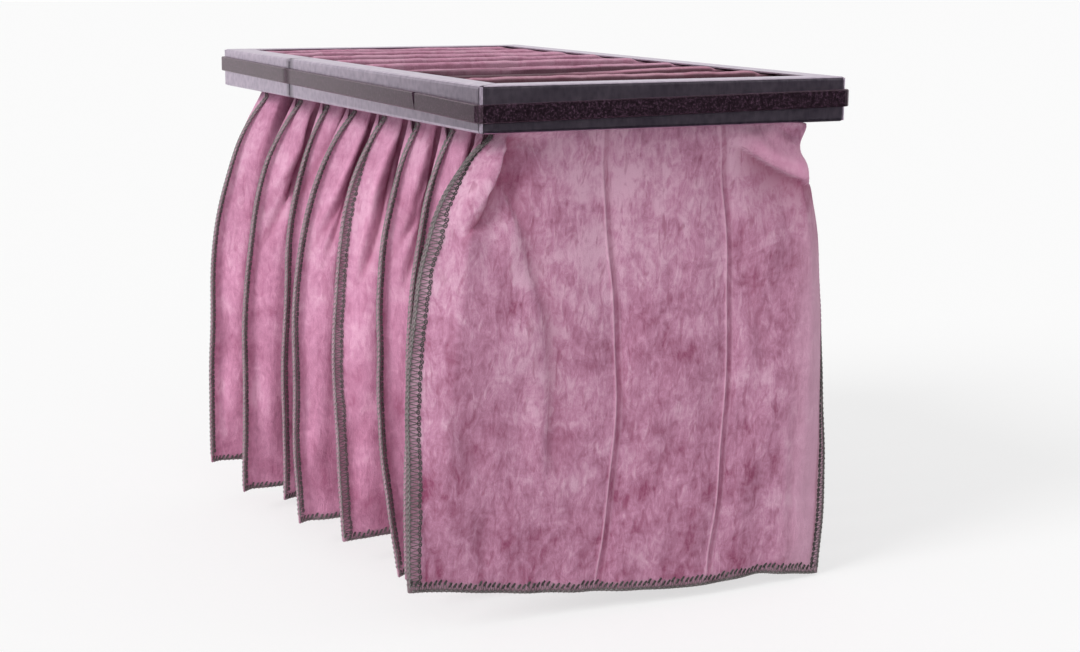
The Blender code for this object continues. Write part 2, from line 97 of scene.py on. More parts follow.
# Sizes of a pocket.
NECK_GAP = 0.003
MOUTH_END_GAP = 0.0073
MOUTH_HALF = (BAR_CENTRES[1] - BAR_CENTRES[0]) / 2 - (BAR_HIGH.y - BAR_LOW.y) / 2 - CLEARANCE
NECK_HALF_WIDTH = LIP_EDGE - NECK_GAP
MOUTH_HALF_WIDTH = HALF_WIDTH - MOUTH_END_GAP
EDGE_HALF_THICKNESS = 0.0012
SEWN_HALF_THICKNESS = 0.0026
SEAM_ALLOWANCE = 0.009
POCKET_HANG = 0.265
STRAIGHT_TAPER = 0.55
FOLD_AT_NECK = 0.0063
FOLD_GAIN = 0.018
FOLD_LENGTH = 0.028

# Mesh of a pocket: columns of a slant and of a flat, rows near the header and further down for the
# front pocket and for the others, rows of the hem, and how many rows the inner skin skips.
COLUMN_CELLS = 5
SLANT_COLUMNS = 21
FLAT_COLUMNS = 22
MIDDLE_COLUMNS = 17
COLUMN_CROWD = (0.005, 0.011, 0.018, 0.030, 0.050, 0.085)
FRONT_ROWS = (34, 56)
BACK_ROWS = (28, 36)
FIRST_ROW, LAST_NEAR_ROW, FIRST_FAR_ROW = 0.0006, 0.066, 0.069
HEM_ROWS = 7
INNER_STEP = 5

# Inner skin: its share of the outer one's thickness, and the depth over which it narrows.
INNER_SHARE = 0.45
INNER_NARROWS = 0.008

# Mouth: how far the edge is tucked into the bar and how high it rolls over it, the roll's shoulder
# and the middle of its bend, how much blunter the ends are than at the neck, and the counts of rings
# up the bar, in the tuck, over the roll, back and down inside.
TUCK_LENGTH = 0.006
ROLL_LEVEL = 0.0250
ROLL_SHOULDER = 0.0022
ROLL_BEND = 0.0012
ROLL_END = 0.0009
MOUTH_START = 0.0008
BLUNT_END = 0.0045
CLIMB_RINGS, TUCK_RINGS, OVER_RINGS, RETURN_RINGS, INSIDE_RINGS = 7, 4, 6, 4, 4
MOUTH_RINGS = CLIMB_RINGS + TUCK_RINGS + OVER_RINGS + RETURN_RINGS + INSIDE_RINGS

# Height of each pocket's roll over the bars above or below ROLL_LEVEL: the front edge's left and
# right end, then the back edge's. Then the roll's two ripples and its wander, as (size, length).
ROLL_HEIGHTS = (
    (-0.0009, -0.0008, 0.0001, 0.0003),
    (-0.0008, -0.0003, -0.0036, 0.0004),
    (-0.0036, -0.0012, -0.0018, 0.0002),
    (-0.0012, -0.0006, 0.0002, 0.0008),
    (-0.0006, -0.0002, 0.0001, 0.0006),
    (-0.0002, -0.0006, 0.0003, -0.0002),
    (-0.0004, 0.0001, 0.0002, -0.0003),
    (-0.0006, -0.0004, -0.0009, -0.0006),
)
ROLL_RIPPLES = ((0.00018, 0.040), (0.00010, 0.011))
ROLL_WANDER = (0.00015, 0.016)

# Spacers: X of their seams at some depths, their sway in the pockets behind the first, where a
# strip starts, the points across it and its bow.
SPACER_DEPTHS = (0.000, 0.020, 0.060, 0.100, 0.160, 0.220, 0.262)
LEFT_SPACER = (-0.0298, -0.0298, -0.0248, -0.0183, -0.0160, -0.0178, -0.0218)
RIGHT_SPACER = (0.0437, 0.0460, 0.0528, 0.0550, 0.0560, 0.0540, 0.0500)
SPACER_CURVE = 4
SPACER_SWAY = 0.0015
SPACER_TOP = 0.012
SPACER_POINTS = 7
SPACER_BOW = 0.0012

# How each pocket hangs, front to back: how far its seams swing out past the neck, how far the
# foot of each seam turns back in, and how much longer it is at its two lower corners.
LEFT_FLARE = (0.048, 0.029, 0.031, 0.036, 0.047, 0.034, 0.046, 0.0535)
RIGHT_FLARE = (0.0465, 0.044, 0.046, 0.042, 0.038, 0.041, 0.037, 0.040)
LEFT_TOE_IN = (0.0035, 0.000, 0.017, 0.009, 0.006, 0.000, 0.000, 0.000)
RIGHT_TOE_IN = (0.0045, 0.000, 0.002, 0.001, 0.000, 0.002, 0.000, 0.001)
LEFT_DROP = (-0.011, -0.003, 0.011, 0.001, 0.000, -0.003, 0.002, -0.008)
RIGHT_DROP = (0.013, 0.003, 0.005, 0.003, -0.001, 0.005, 0.010, -0.003)

# Side seams: where the flare starts and how soon it is done, the right shoulder as bells (height,
# depth, width) and the share of it behind the first pocket, the last pocket's left bulge, and a
# small wander as (size, length, depth where it is full).
SEAM_START = 0.003
FLARE_LENGTH = 0.050
SHOULDER_BELLS = ((0.0165, 0.0, 0.0130), (0.0045, 0.034, 0.022), (0.0032, 0.068, 0.026))
BACK_SHOULDER_SHARE = 0.45
LAST_NECK_BULGE = (0.0075, 0.045)
SEAM_WANDER = (0.0005, 0.017, 0.06)

# Sway of a hanging pocket: size and number of its waves across, their shift from pocket to pocket,
# the flutter of its edges and the frill of its hem, both as (size, length).
HEM_WAVE = 0.003
HEM_WAVES = 1.1
WAVE_SHIFT = 0.35
FLUTTER = (0.0006, 0.055)
FLUTTER_SHARE = 0.05
FRILL = (0.0008, 0.030)
FRILL_START = 0.235

# Degrees by which the sewn edges are bent, the left ones forward and the right ones back, how much
# they are bent close under the header, and by what share the right ones are flat again low down.
LEFT_FIN_TURN = (8.0, 31.0, 36.0, 16.0, 34.0, 34.0, 39.0, 39.0)
RIGHT_FIN_TURN = (38.0, 30.0, 34.0, 28.0, 36.0, 30.0, 34.0, 30.0)
FIN_TURN_AT_NECK = 48.0
FIN_WIDTH = 0.011
FIN_SETTLES = 0.028
FIN_BEND = 1.2
FIN_RELAXES = 0.85

# Relief of every panel: ripples as (size, length), the valley behind the gussets as (depth, how far
# below the header, width), and how a spacer seam pulls the cloth in and folds it up, as bells
# (height, X, width).
WIDE_RIPPLE = (0.0011, 0.075)
FINE_RIPPLE = (0.00045, 0.024)
NECK_RIPPLE = (0.0009, 0.020)
NECK_RIPPLE_REACH = 0.030
GUSSET_VALLEY = (0.0040, 0.022, 0.010)
SEAM_PULL = (0.0030, 0.0, 0.014)
SEAM_PROFILE = ((-0.0010, 0.0028, 0.0018), (0.0007, 0.0, 0.0006))

# The front pocket's left pleat, the soft fold that goes on from it, and its right shoulder fold, as
# (x, depth) points, with how far the mesh crowds in towards each.
LEFT_PLEAT = ((-0.088, 0.002), (-0.0905, 0.023), (-0.099, 0.038), (-0.107, 0.050), (-0.113, 0.062))
LEFT_FOLD = ((-0.0885, 0.028), (-0.074, 0.071), (-0.064, 0.101), (-0.0595, 0.132), (-0.056, 0.200))
RIGHT_SHOULDER = ((0.050, 0.010), (0.061, 0.015), (0.078, 0.024), (0.092, 0.030), (0.112, 0.037))
PLEAT_CROWD, FOLD_CROWD, SHOULDER_CROWD = 0.012, 0.009, 0.010

# Pleats as (side, points down the edge, height, width of the step, strength of the painted shade behind
# the step): the front panel's, and for the others the low end and span of the start, the run outward,
# the length and the height.
FRONT_PLEATS = ((-1, LEFT_PLEAT, 0.0072, 0.0008, 1.35), (-1, LEFT_FOLD, 0.0019, 0.0018, 0.45))
PLEAT_START = (0.086, 0.004)
PLEAT_RUN = (0.010, 0.012)
PLEAT_LENGTH = (0.040, 0.035)
PLEAT_HEIGHT = (0.0022, 0.0026)
PLEAT_TOP = 0.002
PLEAT_BEND = 1.6
PLEAT_STEP = 0.0020
# Strength of the painted shade behind the other panels' pleats.
PLEAT_PAINT = 0.35
PLEAT_RISE = 0.006
PLEAT_FADE = 0.015
PLEAT_SHADE_FADE = 0.009
PLEAT_ENDS_OVER = 0.014

# The shoulder fold: bulge above it as (height, place, width), drop below it as (depth, reach), width
# of the step, and its painted light: reach of the painted shade in deep rose, strength, place and width
# of the painted highlight in bright pink.
SHOULDER_BULGE = (0.0050, -0.0075, 0.0075)
SHOULDER_DROP = (0.0056, 0.012)
SHOULDER_STEP = 0.0020
SHOULDER_SHADE_REACH = 0.015
SHOULDER_LIT = (1.1, -0.008, 0.012)
SHOULDER_PAINT = 0.90

# Creases of the front pocket's front panel as (x, depth) from and to, depth of the fold and its
# width.
FRONT_CREASES = (
    ((-0.098, 0.218), (-0.092, 0.258), 0.0024, 0.0022),
    ((0.105, 0.150), (0.111, 0.262), 0.0009, 0.0030),
    ((0.080, 0.003), (0.104, 0.014), 0.0018, 0.0022),
    ((0.066, 0.006), (0.098, 0.024), 0.0012, 0.0022),
    ((-0.080, 0.006), (-0.064, 0.014), 0.0014, 0.0020),
    ((-0.020, 0.120), (0.010, 0.210), 0.0008, 0.0080),
    ((-0.125, 0.140), (-0.095, 0.200), 0.0010, 0.0060),
    ((0.060, 0.060), (0.084, 0.140), 0.0009, 0.0070),
)

# Random creases of the other panels, sharp short ones and soft ones: the sides they lie on in order,
# then the low end and span of the start's x and depth, of the length, of the run outward as a share
# of the length and as a distance, and of the fold's depth, and the fold's width.
CREASE_KINDS = (
    (
        (-1, 1, -1, 1, -1, 1, -1),
        ((0.066, 0.026), (0.004, 0.03), (0.03, 0.05), (0.10, 0.60), (0.0, 0.0), (0.0020, 0.0032)),
        0.0026,
    ),
    (
        (-1, 1, -1),
        ((0.098, 0.02), (0.07, 0.12), (0.03, 0.05), (0.0, 0.0), (-0.006, 0.02), (0.0, 0.0018)),
        0.006,
    ),
)
# Painted shade in a crease, for each metre of the fold's depth.
CREASE_PAINT = 190.0

# Painted shadow in a line just inside the front pocket's right seam, beside its sewn band, as (strength, from
# the seam, width).
SEAM_SHADOW_LINE = (0.9, 0.0074, 0.0009)

# Paint of the pockets: the painted light that makes the cloth behind the first pocket paler and what
# is added to it at the foot, how much of the edge thread shows there, how much of the roll's colour
# and of the mouth's painted shade the pockets further back have, a seam mark for places with no
# seam, and in metres the width of the marks' soft borders, how far the sewn mark passes the stitches
# and how far below the crest of the roll the painted shade of the mouth starts.
BACK_POCKET_PAINTED_LIGHT = 1.15
FOOT_PAINTED_LIGHT = 0.36
BACK_EDGE_SHARE = 0.40
BACK_ROLL_SHARE = 0.5
BACK_MOUTH_SHADE_SHARE = 0.5
NO_SEAM = 0.05
MARK_EDGE = 0.0012
STITCH_MARGIN = 0.0010
MOUTH_SHADE_START = 0.0004

# Seeds of the random draws.
RELIEF_SEED = 100
CREASE_SEED = 300
ROLL_SEED = 500
ROLL_WANDER_SEED = 560
STITCH_SEED = 700
PLEAT_SEED = 800
FLUTTER_SEED = 40
FRILL_SEED = 60

# Overlock stitch: its pitch, how deep it reaches in at the sides and at the hem, the share of that
# close under the header and the depth and span over which it grows to the full one, the share on
# the right side, how far from an edge's ends the stitches start and stop, and how uneven they are.
STITCH_PITCH = 0.0031
STITCH_DEPTHS = (0.0078, 0.0052, 0.0046, 0.0066, 0.0048, 0.0048, 0.0042, 0.0040)
HEM_STITCH_DEPTHS = (0.0052, 0.0036, 0.0032, 0.0036, 0.0032, 0.0032, 0.0030, 0.0030)
NECK_STITCH_SHARE = 0.42
STITCH_WIDENS = (0.006, 0.050)
RIGHT_STITCH_SHARE = 0.78
SIDE_STITCH_START, HEM_STITCH_START, STITCH_END = 0.004, 0.002, 0.002
BEAT_JITTER = 0.0004
SIDE_DEPTH_JITTER, HEM_DEPTH_JITTER = 0.12, 0.50

# Threads: sides of their section, height of a leg's bow, how far a loop lies behind the stitch's
# depth, where the edge thread runs, length, width and slope of a side loop and of a hem loop, and
# how many thread radii a leg, a loop, an edge thread and a purl have.
THREAD_SIDES = 3
LEG_BOW = 0.00018
LOOP_SETBACK = 0.0004
EDGE_THREAD_IN, EDGE_THREAD_WAVE = 0.0007, 0.0005
SIDE_LOOP = (0.0013, 0.0009, 0.0)
HEM_LOOP = (0.0005, 0.0015, 0.6)
LEG_RADII, LOOP_RADII, EDGE_RADII, PURL_RADII = 0.85, 1.15, 1.3, 1.15

# Points of a leg, counts of points in a loop and in an edge thread, and tones of the legs, loops,
# edge threads and purls: of the front pocket, and of the others.
FRONT_THREAD = ((0.0, 0.30, 0.62, 0.88, 1.0), 7, 5, (0.22, -0.15, 0.45, 0.1))
BACK_THREAD = ((0.0, 0.40, 0.80, 1.0), 6, 4, (0.62, 0.25, 0.65, 0.5))

# Where the header's lap joint is on the left rail, and the colour of the painted shade over it, where the
# joggled sheet reflects less light.
LAP_PLACE = HEADER_LOW.y + 0.286
LAP_SHADE_COLOUR = (0.10, 0.085, 0.11)

# Camera: 36 mm sensor across the picture, and its place and turn in the model's frame.
CAMERA_LENS = 66.67
CAMERA_PLACE = (-0.5518, -0.9406, 0.0920)
CAMERA_TURN = (79.445, -0.412, -26.835)

# Half the side of the floor, and the columns of a card's arc.
FLOOR_REACH = 14.0
CARD_COLUMNS = 15


def smooth_step(value):
    """0 below 0, 1 above 1 and a cubic rise between."""
    t = np.clip(value, 0.0, 1.0)
    return t * t * (3.0 - 2.0 * t)


def ramp(value, start, width):
    """0 up to start and 1 from a width after it, a cubic rise between."""
    return smooth_step((value - start) / width)


def decay(value, length):
    """1 up to 0, and from there e to the power of minus the value over the length."""
    return np.exp(-np.maximum(value, 0.0) / length)


def bell(value, centre, width):
    """e to the power of minus the square of the distance from the centre over the width."""
    return np.exp(-((value - centre) / width) ** 2)


def bells(value, parts):
    """Sum of bells, each given as (height, centre, width)."""
    return sum(height * bell(value, centre, width) for height, centre, width in parts)


def unit(vectors):
    """Vectors scaled to length 1."""
    return vectors / np.maximum(np.linalg.norm(vectors, axis=-1, keepdims=True), 1e-12)


def ripple(x, z, size, seed, stretch=1.0):
    """Sum of seven plane waves in random directions, each about size long, of mean square 1/2."""
    waves = np.random.default_rng(seed).random((7, 3))
    total = np.zeros(np.broadcast(x, z).shape)
    for turn, phase, spread in waves:
        reach = 2 * np.pi / (size * (0.7 + 0.6 * spread))
        along = x * np.cos(2 * np.pi * turn) + z * np.sin(2 * np.pi * turn) / stretch
        total += np.sin(reach * along + 2 * np.pi * phase)
    return total / np.sqrt(len(waves))


def waved(wave, x, z, seed, stretch=1.0):
    """A ripple given as (size, length)."""
    size, length = wave
    return size * ripple(x, z, length, seed, stretch)


def around(front, back):
    """Rows that run across the front and return across the back."""
    return np.concatenate((front, back[:, ::-1]), axis=1)


# Meshes


def add_object(name, points, faces, finish, attributes=None):
    """One smooth object from points and faces, with float attributes on its points."""
    mesh = bpy.data.meshes.new(name)
    mesh.from_pydata(np.asarray(points).reshape(-1, 3).tolist(), [], faces)
    for key, values in (attributes or {}).items():
        layer = mesh.attributes.new(key, "FLOAT", "POINT")
        layer.data.foreach_set("value", np.asarray(values, np.float32).ravel())
    mesh.shade_smooth()
    mesh.materials.append(finish)
    made = bpy.data.objects.new(name, mesh)
    bpy.context.scene.collection.objects.link(made)
    return made


def loft_faces(ring_count, count):
    """Quads between closed rings of count points each."""
    ring = np.arange(ring_count - 1)[:, None] * count
    here = np.arange(count)[None, :]
    ahead = (here + 1) % count
    quads = np.stack((ring + here, ring + ahead, ring + count + ahead, ring + count + here), axis=-1)
    return quads.reshape(-1, 4).tolist()


def shell_faces(ring_count, count):
    """Quads of a loft whose rings go out across the front and return across the back, with caps."""
    first = np.arange(count // 2 - 1)
    ends = np.stack((first + 1, first, count - 1 - first, count - 2 - first), axis=1)
    last = (ring_count - 1) * count
    return loft_faces(ring_count, count) + ends.tolist() + (last + ends[:, ::-1]).tolist()


def tubes(paths, normals, radius, closed=False):
    """Threads along many paths at once: an array (path, point, xyz) and its surface normals.

    Each thread's section is a triangle turned about the path's tangent. Open threads have caps.
    """
    if closed:
        tangents = unit(np.roll(paths, -1, axis=1) - np.roll(paths, 1, axis=1))
    else:
        tangents = unit(np.gradient(paths, axis=1))
    sideways = unit(np.cross(tangents, normals))
    upward = np.cross(sideways, tangents)
    turn = 2 * np.pi * np.arange(THREAD_SIDES) / THREAD_SIDES
    ring = radius * (
        upward[:, :, None] * np.cos(turn)[:, None] + sideways[:, :, None] * np.sin(turn)[:, None]
    )
    points = (paths[:, :, None] + ring).reshape(-1, 3)
    path_count, length = paths.shape[:2]
    start = (np.arange(path_count) * length * THREAD_SIDES)[:, None, None]
    step = (np.arange(length if closed else length - 1) * THREAD_SIDES)[None, :, None]
    after = ((np.arange(step.size) + 1) % length * THREAD_SIDES)[None, :, None]
    side = np.arange(THREAD_SIDES)[None, None, :]
    turned = (side + 1) % THREAD_SIDES
    quads = np.stack(
        (start + step + side, start + step + turned, start + after + turned, start + after + side),
        axis=-1,
    )
    faces = quads.reshape(-1, 4).tolist()
    if not closed:
        first = start[:, 0] + np.arange(THREAD_SIDES)[None, ::-1]
        last = start[:, 0] + (length - 1) * THREAD_SIDES + np.arange(THREAD_SIDES)[None, :]
        faces += first.tolist() + last.tolist()
    return points, faces


def joined(groups):
    """Several (points, faces, value) groups as one, with the value on each point."""
    points = []
    faces = []
    values = []
    offset = 0
    for group_points, group_faces, value in groups:
        points.append(group_points)
        faces += [[corner + offset for corner in face] for face in group_faces]
        values.append(np.full(len(group_points), value))
        offset += len(group_points)
    return np.vstack(points), faces, np.concatenate(values)


# Pockets


def across_columns():
    """Column numbers of a panel: 0 to 1 is its left slant, 1 to 4 the flat, 4 to 5 the right slant.

    The two spacer seams are at 2 and 3, and the columns crowd in towards them.
    """
    slant = np.linspace(0.0, 1.0, SLANT_COLUMNS)
    near = np.array(COLUMN_CROWD)
    left = np.concatenate((np.linspace(0.03, 0.88, FLAT_COLUMNS), 1.0 - near[::-1]))
    middle = np.concatenate(([0.0], near, np.linspace(0.125, 0.875, MIDDLE_COLUMNS), 1.0 - near[::-1]))
    right = np.append([0.0], 1.0 - left[::-1])
    return np.concatenate((slant, 1.0 + left, 2.0 + middle, 3.0 + right, 4.0 + slant))


def down_rows(near_count, far_count):
    """Distances below the header of a panel's rows, close together under the header and at the hem."""
    near = np.linspace(FIRST_ROW, LAST_NEAR_ROW, near_count)
    far = np.linspace(FIRST_FAR_ROW, POCKET_HANG - SEAM_ALLOWANCE, far_count)
    hem = np.linspace(POCKET_HANG - SEAM_ALLOWANCE, POCKET_HANG, HEM_ROWS + 1)[1:]
    return np.concatenate((near, far, hem))


def crowd(offset, reach):
    """Offsets drawn towards zero within reach: the offset times its share of the reach to the 0.6."""
    t = np.clip(offset / reach, -1.0, 1.0)
    return np.where(np.abs(t) < 1.0, reach * t * np.abs(t) ** 0.6, offset)


class PocketForm:
    """Shape of one pocket, from the mouth over the bars to the hem."""

    def __init__(self, index):
        self.index = index
        self.middle = (BAR_CENTRES[index] + BAR_CENTRES[index + 1]) / 2
        self.phase = WAVE_SHIFT * index
        self.columns = across_columns()
        self.from_tip = np.minimum(self.columns, COLUMN_CELLS - self.columns)
        self.rows = down_rows(*(FRONT_ROWS if index == 0 else BACK_ROWS))

    def seam(self, down, side):
        """X of a side seam: the neck, an exponential flare less a cubic toe, a shoulder and a wander."""
        flare = (LEFT_FLARE if side < 0 else RIGHT_FLARE)[self.index]
        toe = (LEFT_TOE_IN if side < 0 else RIGHT_TOE_IN)[self.index]
        swing = flare * (1.0 - decay(down - SEAM_START, FLARE_LENGTH))
        swing = swing - toe * (down / POCKET_HANG) ** 3
        start = ramp(down, 0.0, SEAM_START)
        if side > 0:
            share = 1.0 if self.index == 0 else BACK_SHOULDER_SHARE
            swing = swing + share * bells(down, SHOULDER_BELLS) * start
        elif self.index == POCKET_COUNT - 1:
            height, reach = LAST_NECK_BULGE
            swing = swing + height * decay(down, reach) * start
        size, length, settles = SEAM_WANDER
        wander = size * np.sin(down / length + 2.1 * self.index + side) * ramp(down, 0.0, settles)
        return side * (NECK_HALF_WIDTH + (swing + wander))

    def half_thickness(self, down):
        """Half the thickness: full at the mouth, falling to the sewn hem, then to its bare edge."""
        share = np.clip(down / (POCKET_HANG - SEAM_ALLOWANCE), 0.0, 1.0)
        eased = 1.0 - STRAIGHT_TAPER * share - (1.0 - STRAIGHT_TAPER) * share ** 3
        hem = np.clip((down - POCKET_HANG + SEAM_ALLOWANCE) / SEAM_ALLOWANCE, 0.0, 1.0)
        body = SEWN_HALF_THICKNESS + (MOUTH_HALF - SEWN_HALF_THICKNESS) * eased
        return body + (EDGE_HALF_THICKNESS - SEWN_HALF_THICKNESS) * hem

    def stitch_depth(self, down):
        """How far the side stitches reach in: less than half as far under the header as lower down."""
        widened = (1.0 - NECK_STITCH_SHARE) * ramp(down, *STITCH_WIDENS)
        return STITCH_DEPTHS[self.index] * (NECK_STITCH_SHARE + widened)

    def spacer_x(self, down, side):
        """X of a spacer seam: a polynomial through its points, and a sine sway behind the first pocket."""
        points = LEFT_SPACER if side < 0 else RIGHT_SPACER
        line = np.polyval(np.polyfit(SPACER_DEPTHS, points, SPACER_CURVE), down)
        sway = 0.0 if self.index == 0 else SPACER_SWAY * np.sin(3.0 * self.index + down / 0.05)
        return line + sway

    def section(self, left, right, inset, thick, spacers):
        """X and half thickness at each column, for arrays of rows: an S-shaped slant and a flat."""
        knots = np.stack((left, left + inset, spacers[0], spacers[1], right - inset, right), axis=1)
        cell = np.minimum(self.columns.astype(int), COLUMN_CELLS - 1)
        part = (self.columns - cell)[None, :]
        x = knots[:, cell] * (1.0 - part) + knots[:, cell + 1] * part
        rise = smooth_step(self.from_tip[None, :])
        return x, EDGE_HALF_THICKNESS + (thick[:, None] - EDGE_HALF_THICKNESS) * rise

    def sway(self, x, down):
        """Wave of the hanging pocket, growing with the square of the depth, and its edges' and hem's."""
        left = x.min(axis=1, keepdims=True)
        share = (x - left) / (x.max(axis=1, keepdims=True) - left)
        turn = 2.0 * np.pi * (HEM_WAVES * share + self.phase)
        hung = (down / POCKET_HANG) ** 2
        wave = HEM_WAVE * hung * (np.sin(turn) - np.sin(2.0 * np.pi * self.phase))
        edge = bell(share, 0.0, FLUTTER_SHARE) + bell(share, 1.0, FLUTTER_SHARE)
        flutter = edge * waved(FLUTTER, np.zeros_like(down), down, FLUTTER_SEED + self.index)
        frill = ramp(down, FRILL_START, 0.03) * waved(FRILL, x, 0.0 * x, FRILL_SEED + self.index)
        return wave + flutter * ramp(down, 0.0, 0.04) + frill

    def creases(self, panel):
        """Creases of one panel as (from, to, depth, width), the photographed ones on the front panel."""
        if self.index == 0 and panel < 0:
            return FRONT_CREASES
        random = np.random.default_rng(CREASE_SEED + 10 * self.index + (panel > 0))
        made = []
        for sides, ranges, width in CREASE_KINDS:
            low, span = np.array(ranges).T
            for side in sides:
                u, v, length, lean, depth = random.random(5)
                drawn = low + span * np.array((u, v, length, lean, lean, depth))
                x, down, reach, slope, shift, depth = drawn
                out = side * (reach * slope + shift)
                made.append(((side * x, down), (side * x + out, down + reach), depth, width))
        return made

    def crease(self, x, down, panel):
        """Relief and painted shade of the creases: a sharp exponential valley with a low lip on one side."""
        lift = 0.0
        shade = 0.0
        for (x0, down0), (x1, down1), depth, width in self.creases(panel):
            run = np.array((x1 - x0, down1 - down0))
            length = np.hypot(*run)
            run = run / length
            along = ((x - x0) * run[0] + (down - down0) * run[1]) / length
            apart = (down - down0) * run[0] - (x - x0) * run[1]
            ends = ramp(along, -0.10, 0.30) * ramp(-along, -1.10, 0.35)
            fold = np.exp(-np.abs(apart) / width) - 0.45 * bell(apart, 1.6 * width, width)
            lift = lift - depth * ends * fold
            # Painted shade along the crease.
            shade = shade + CREASE_PAINT * depth * ends * fold
        return lift, shade

    def pleats(self, panel):
        """Pleats of one panel, the photographed ones on the front panel and one a side on the others."""
        if self.index == 0 and panel < 0:
            return FRONT_PLEATS
        random = np.random.default_rng(PLEAT_SEED + 10 * self.index + (panel > 0))
        made = []
        for side in (-1, 1):
            height, turn, length = random.random(3)
            start = PLEAT_START[0] + PLEAT_START[1] * turn
            run = PLEAT_RUN[0] + PLEAT_RUN[1] * turn
            reach = PLEAT_LENGTH[0] + PLEAT_LENGTH[1] * length
            part = np.linspace(0.0, 1.0, 5)
            points = np.stack((side * (start + run * part ** PLEAT_BEND), PLEAT_TOP + reach * part), axis=1)
            made.append((side, points, PLEAT_HEIGHT[0] + PLEAT_HEIGHT[1] * height, PLEAT_STEP, PLEAT_PAINT))
        return made

    def pleat(self, x, down, panel):
        """Relief and painted shade of the pleats: the side nearer the seam overlaps, and behind it drops into
        painted shade.
        """
        lift = 0.0
        shade = 0.0
        for side, points, height, width, paint in self.pleats(panel):
            edge_x, edge_down = np.array(points).T
            past = (np.interp(down, edge_down, edge_x) - x) * side
            step = smooth_step(past / width + 0.5)
            rise = bell(past, -PLEAT_RISE, PLEAT_RISE)
            ends = ramp(down, edge_down[0] - 0.002, 0.004) * ramp(edge_down[-1] - down, 0.0, PLEAT_ENDS_OVER)
            lift = lift - height * (step * decay(past, PLEAT_FADE) - 0.45 * rise) * ends
            # Painted shade behind the step, and a little painted highlight where the cloth rises before it.
            dark = step * decay(past, PLEAT_SHADE_FADE) - 0.12 * (1.0 - step) * rise
            shade = shade + paint * ends * dark
        return lift, shade

    def shoulder(self, x, down):
        """Relief and painted light of the right shoulder: it bulges above a slanting fold with a painted
        highlight, and has painted shade below.
        """
        edge_x, edge_down = np.array(RIGHT_SHOULDER).T
        below = down - np.interp(x, edge_x, edge_down)
        step = smooth_step(below / SHOULDER_STEP + 0.4)
        depth, reach = SHOULDER_DROP
        lift = bells(below, (SHOULDER_BULGE,)) - depth * step * decay(below, reach)
        # Painted highlight on the bulge above the fold, and painted shade below it.
        lit = (1.0 - step) * bells(below, (SHOULDER_LIT,))
        there = ramp(x, 0.050, 0.022) * ramp(down, 0.002, 0.005)
        return lift * there, SHOULDER_PAINT * (step * decay(below, SHOULDER_SHADE_REACH) - lit) * there

    def relief(self, x, down, inset, thick, panel):
        """How far a panel stands out of its plain form, and the painted shade in its folds and painted
        highlight on what stands out.

        It is a sum of ripples, the valley behind the gussets, the pleats, the seams of the spacers
        and the creases, and fades out at the header, at the hem and at the side seams.
        """
        seed = RELIEF_SEED + 10 * self.index + (panel > 0)
        right = x.max(axis=1, keepdims=True)
        from_seam = np.minimum(x - x.min(axis=1, keepdims=True), right - x)
        out = waved(WIDE_RIPPLE, x, down, seed) * ramp(down, 0.0, 0.05)
        out += waved(FINE_RIPPLE, x, down, seed + 1, stretch=2.0)
        out += decay(down, NECK_RIPPLE_REACH) * waved(NECK_RIPPLE, x, 0.0 * down, seed + 2)
        depth, low, width = GUSSET_VALLEY
        out -= depth * down / low * np.exp(1.0 - down / low) * bell(from_seam - inset, width, width)
        lift, shade = self.pleat(x, down, panel)
        out += lift
        held = ramp(down, 0.004, 0.03)
        for side in (-1, 1):
            offset = x - self.spacer_x(down, side)
            pulled = thick / MOUTH_HALF * bells(offset, (SEAM_PULL,))
            out += held * (bells(offset, SEAM_PROFILE) - pulled)
        lift, paint = self.crease(x, down, panel)
        out += lift
        shade = shade + paint
        if self.index == 0 and panel < 0:
            lift, paint = self.shoulder(x, down)
            out += lift
            # Painted light of the shoulder, and a painted shadow line beside the right seam's sewn band.
            shade = shade + paint + bells(right - x, (SEAM_SHADOW_LINE,)) * ramp(down, 0.12, 0.08)
        keep = ramp(down, 0.0005, 0.006) * ramp(POCKET_HANG - down, 0.004, 0.02)
        return out * keep * ramp(from_seam, 0.0045, 0.010), shade * keep

    def gathered(self, x, down):
        """The front pocket's grid, crowded in towards its pleat, its soft fold and its shoulder fold."""
        edge_x, edge_down = np.array(LEFT_PLEAT).T
        offset = x - np.interp(down, edge_down, edge_x)
        x = x + (crowd(offset, PLEAT_CROWD) - offset) * ramp(edge_down[-1] - down, -0.02, 0.02)
        edge_x, edge_down = np.array(LEFT_FOLD).T
        offset = x - np.interp(down, edge_down, edge_x)
        x = x + (crowd(offset, FOLD_CROWD) - offset) * ramp(down, edge_down[0], 0.01)
        edge_x, edge_down = np.array(RIGHT_SHOULDER).T
        offset = down - np.interp(x, edge_x, edge_down)
        there = ramp(x, 0.040, 0.016) * ramp(down, FIRST_ROW, 0.004)
        return x, down + (crowd(offset, SHOULDER_CROWD) - offset) * there

    def hem_drop(self, share):
        """How much longer the pocket is at a share of its width from the left, by its two corners.

        The front one's hem also sags in the middle, rises before the right corner and dips at it.
        """
        drop = LEFT_DROP[self.index] * (1.0 - share) ** 2 + RIGHT_DROP[self.index] * share
        if self.index == 0:
            drop = drop + 0.0030 * ramp(share, 0.0, 0.3) * (1.0 - ramp(share, 0.62, 0.18))
            drop = drop - 0.0017 * bell(share, 0.835, 0.04) + 0.0028 * ramp(share, 0.88, 0.12)
        return drop

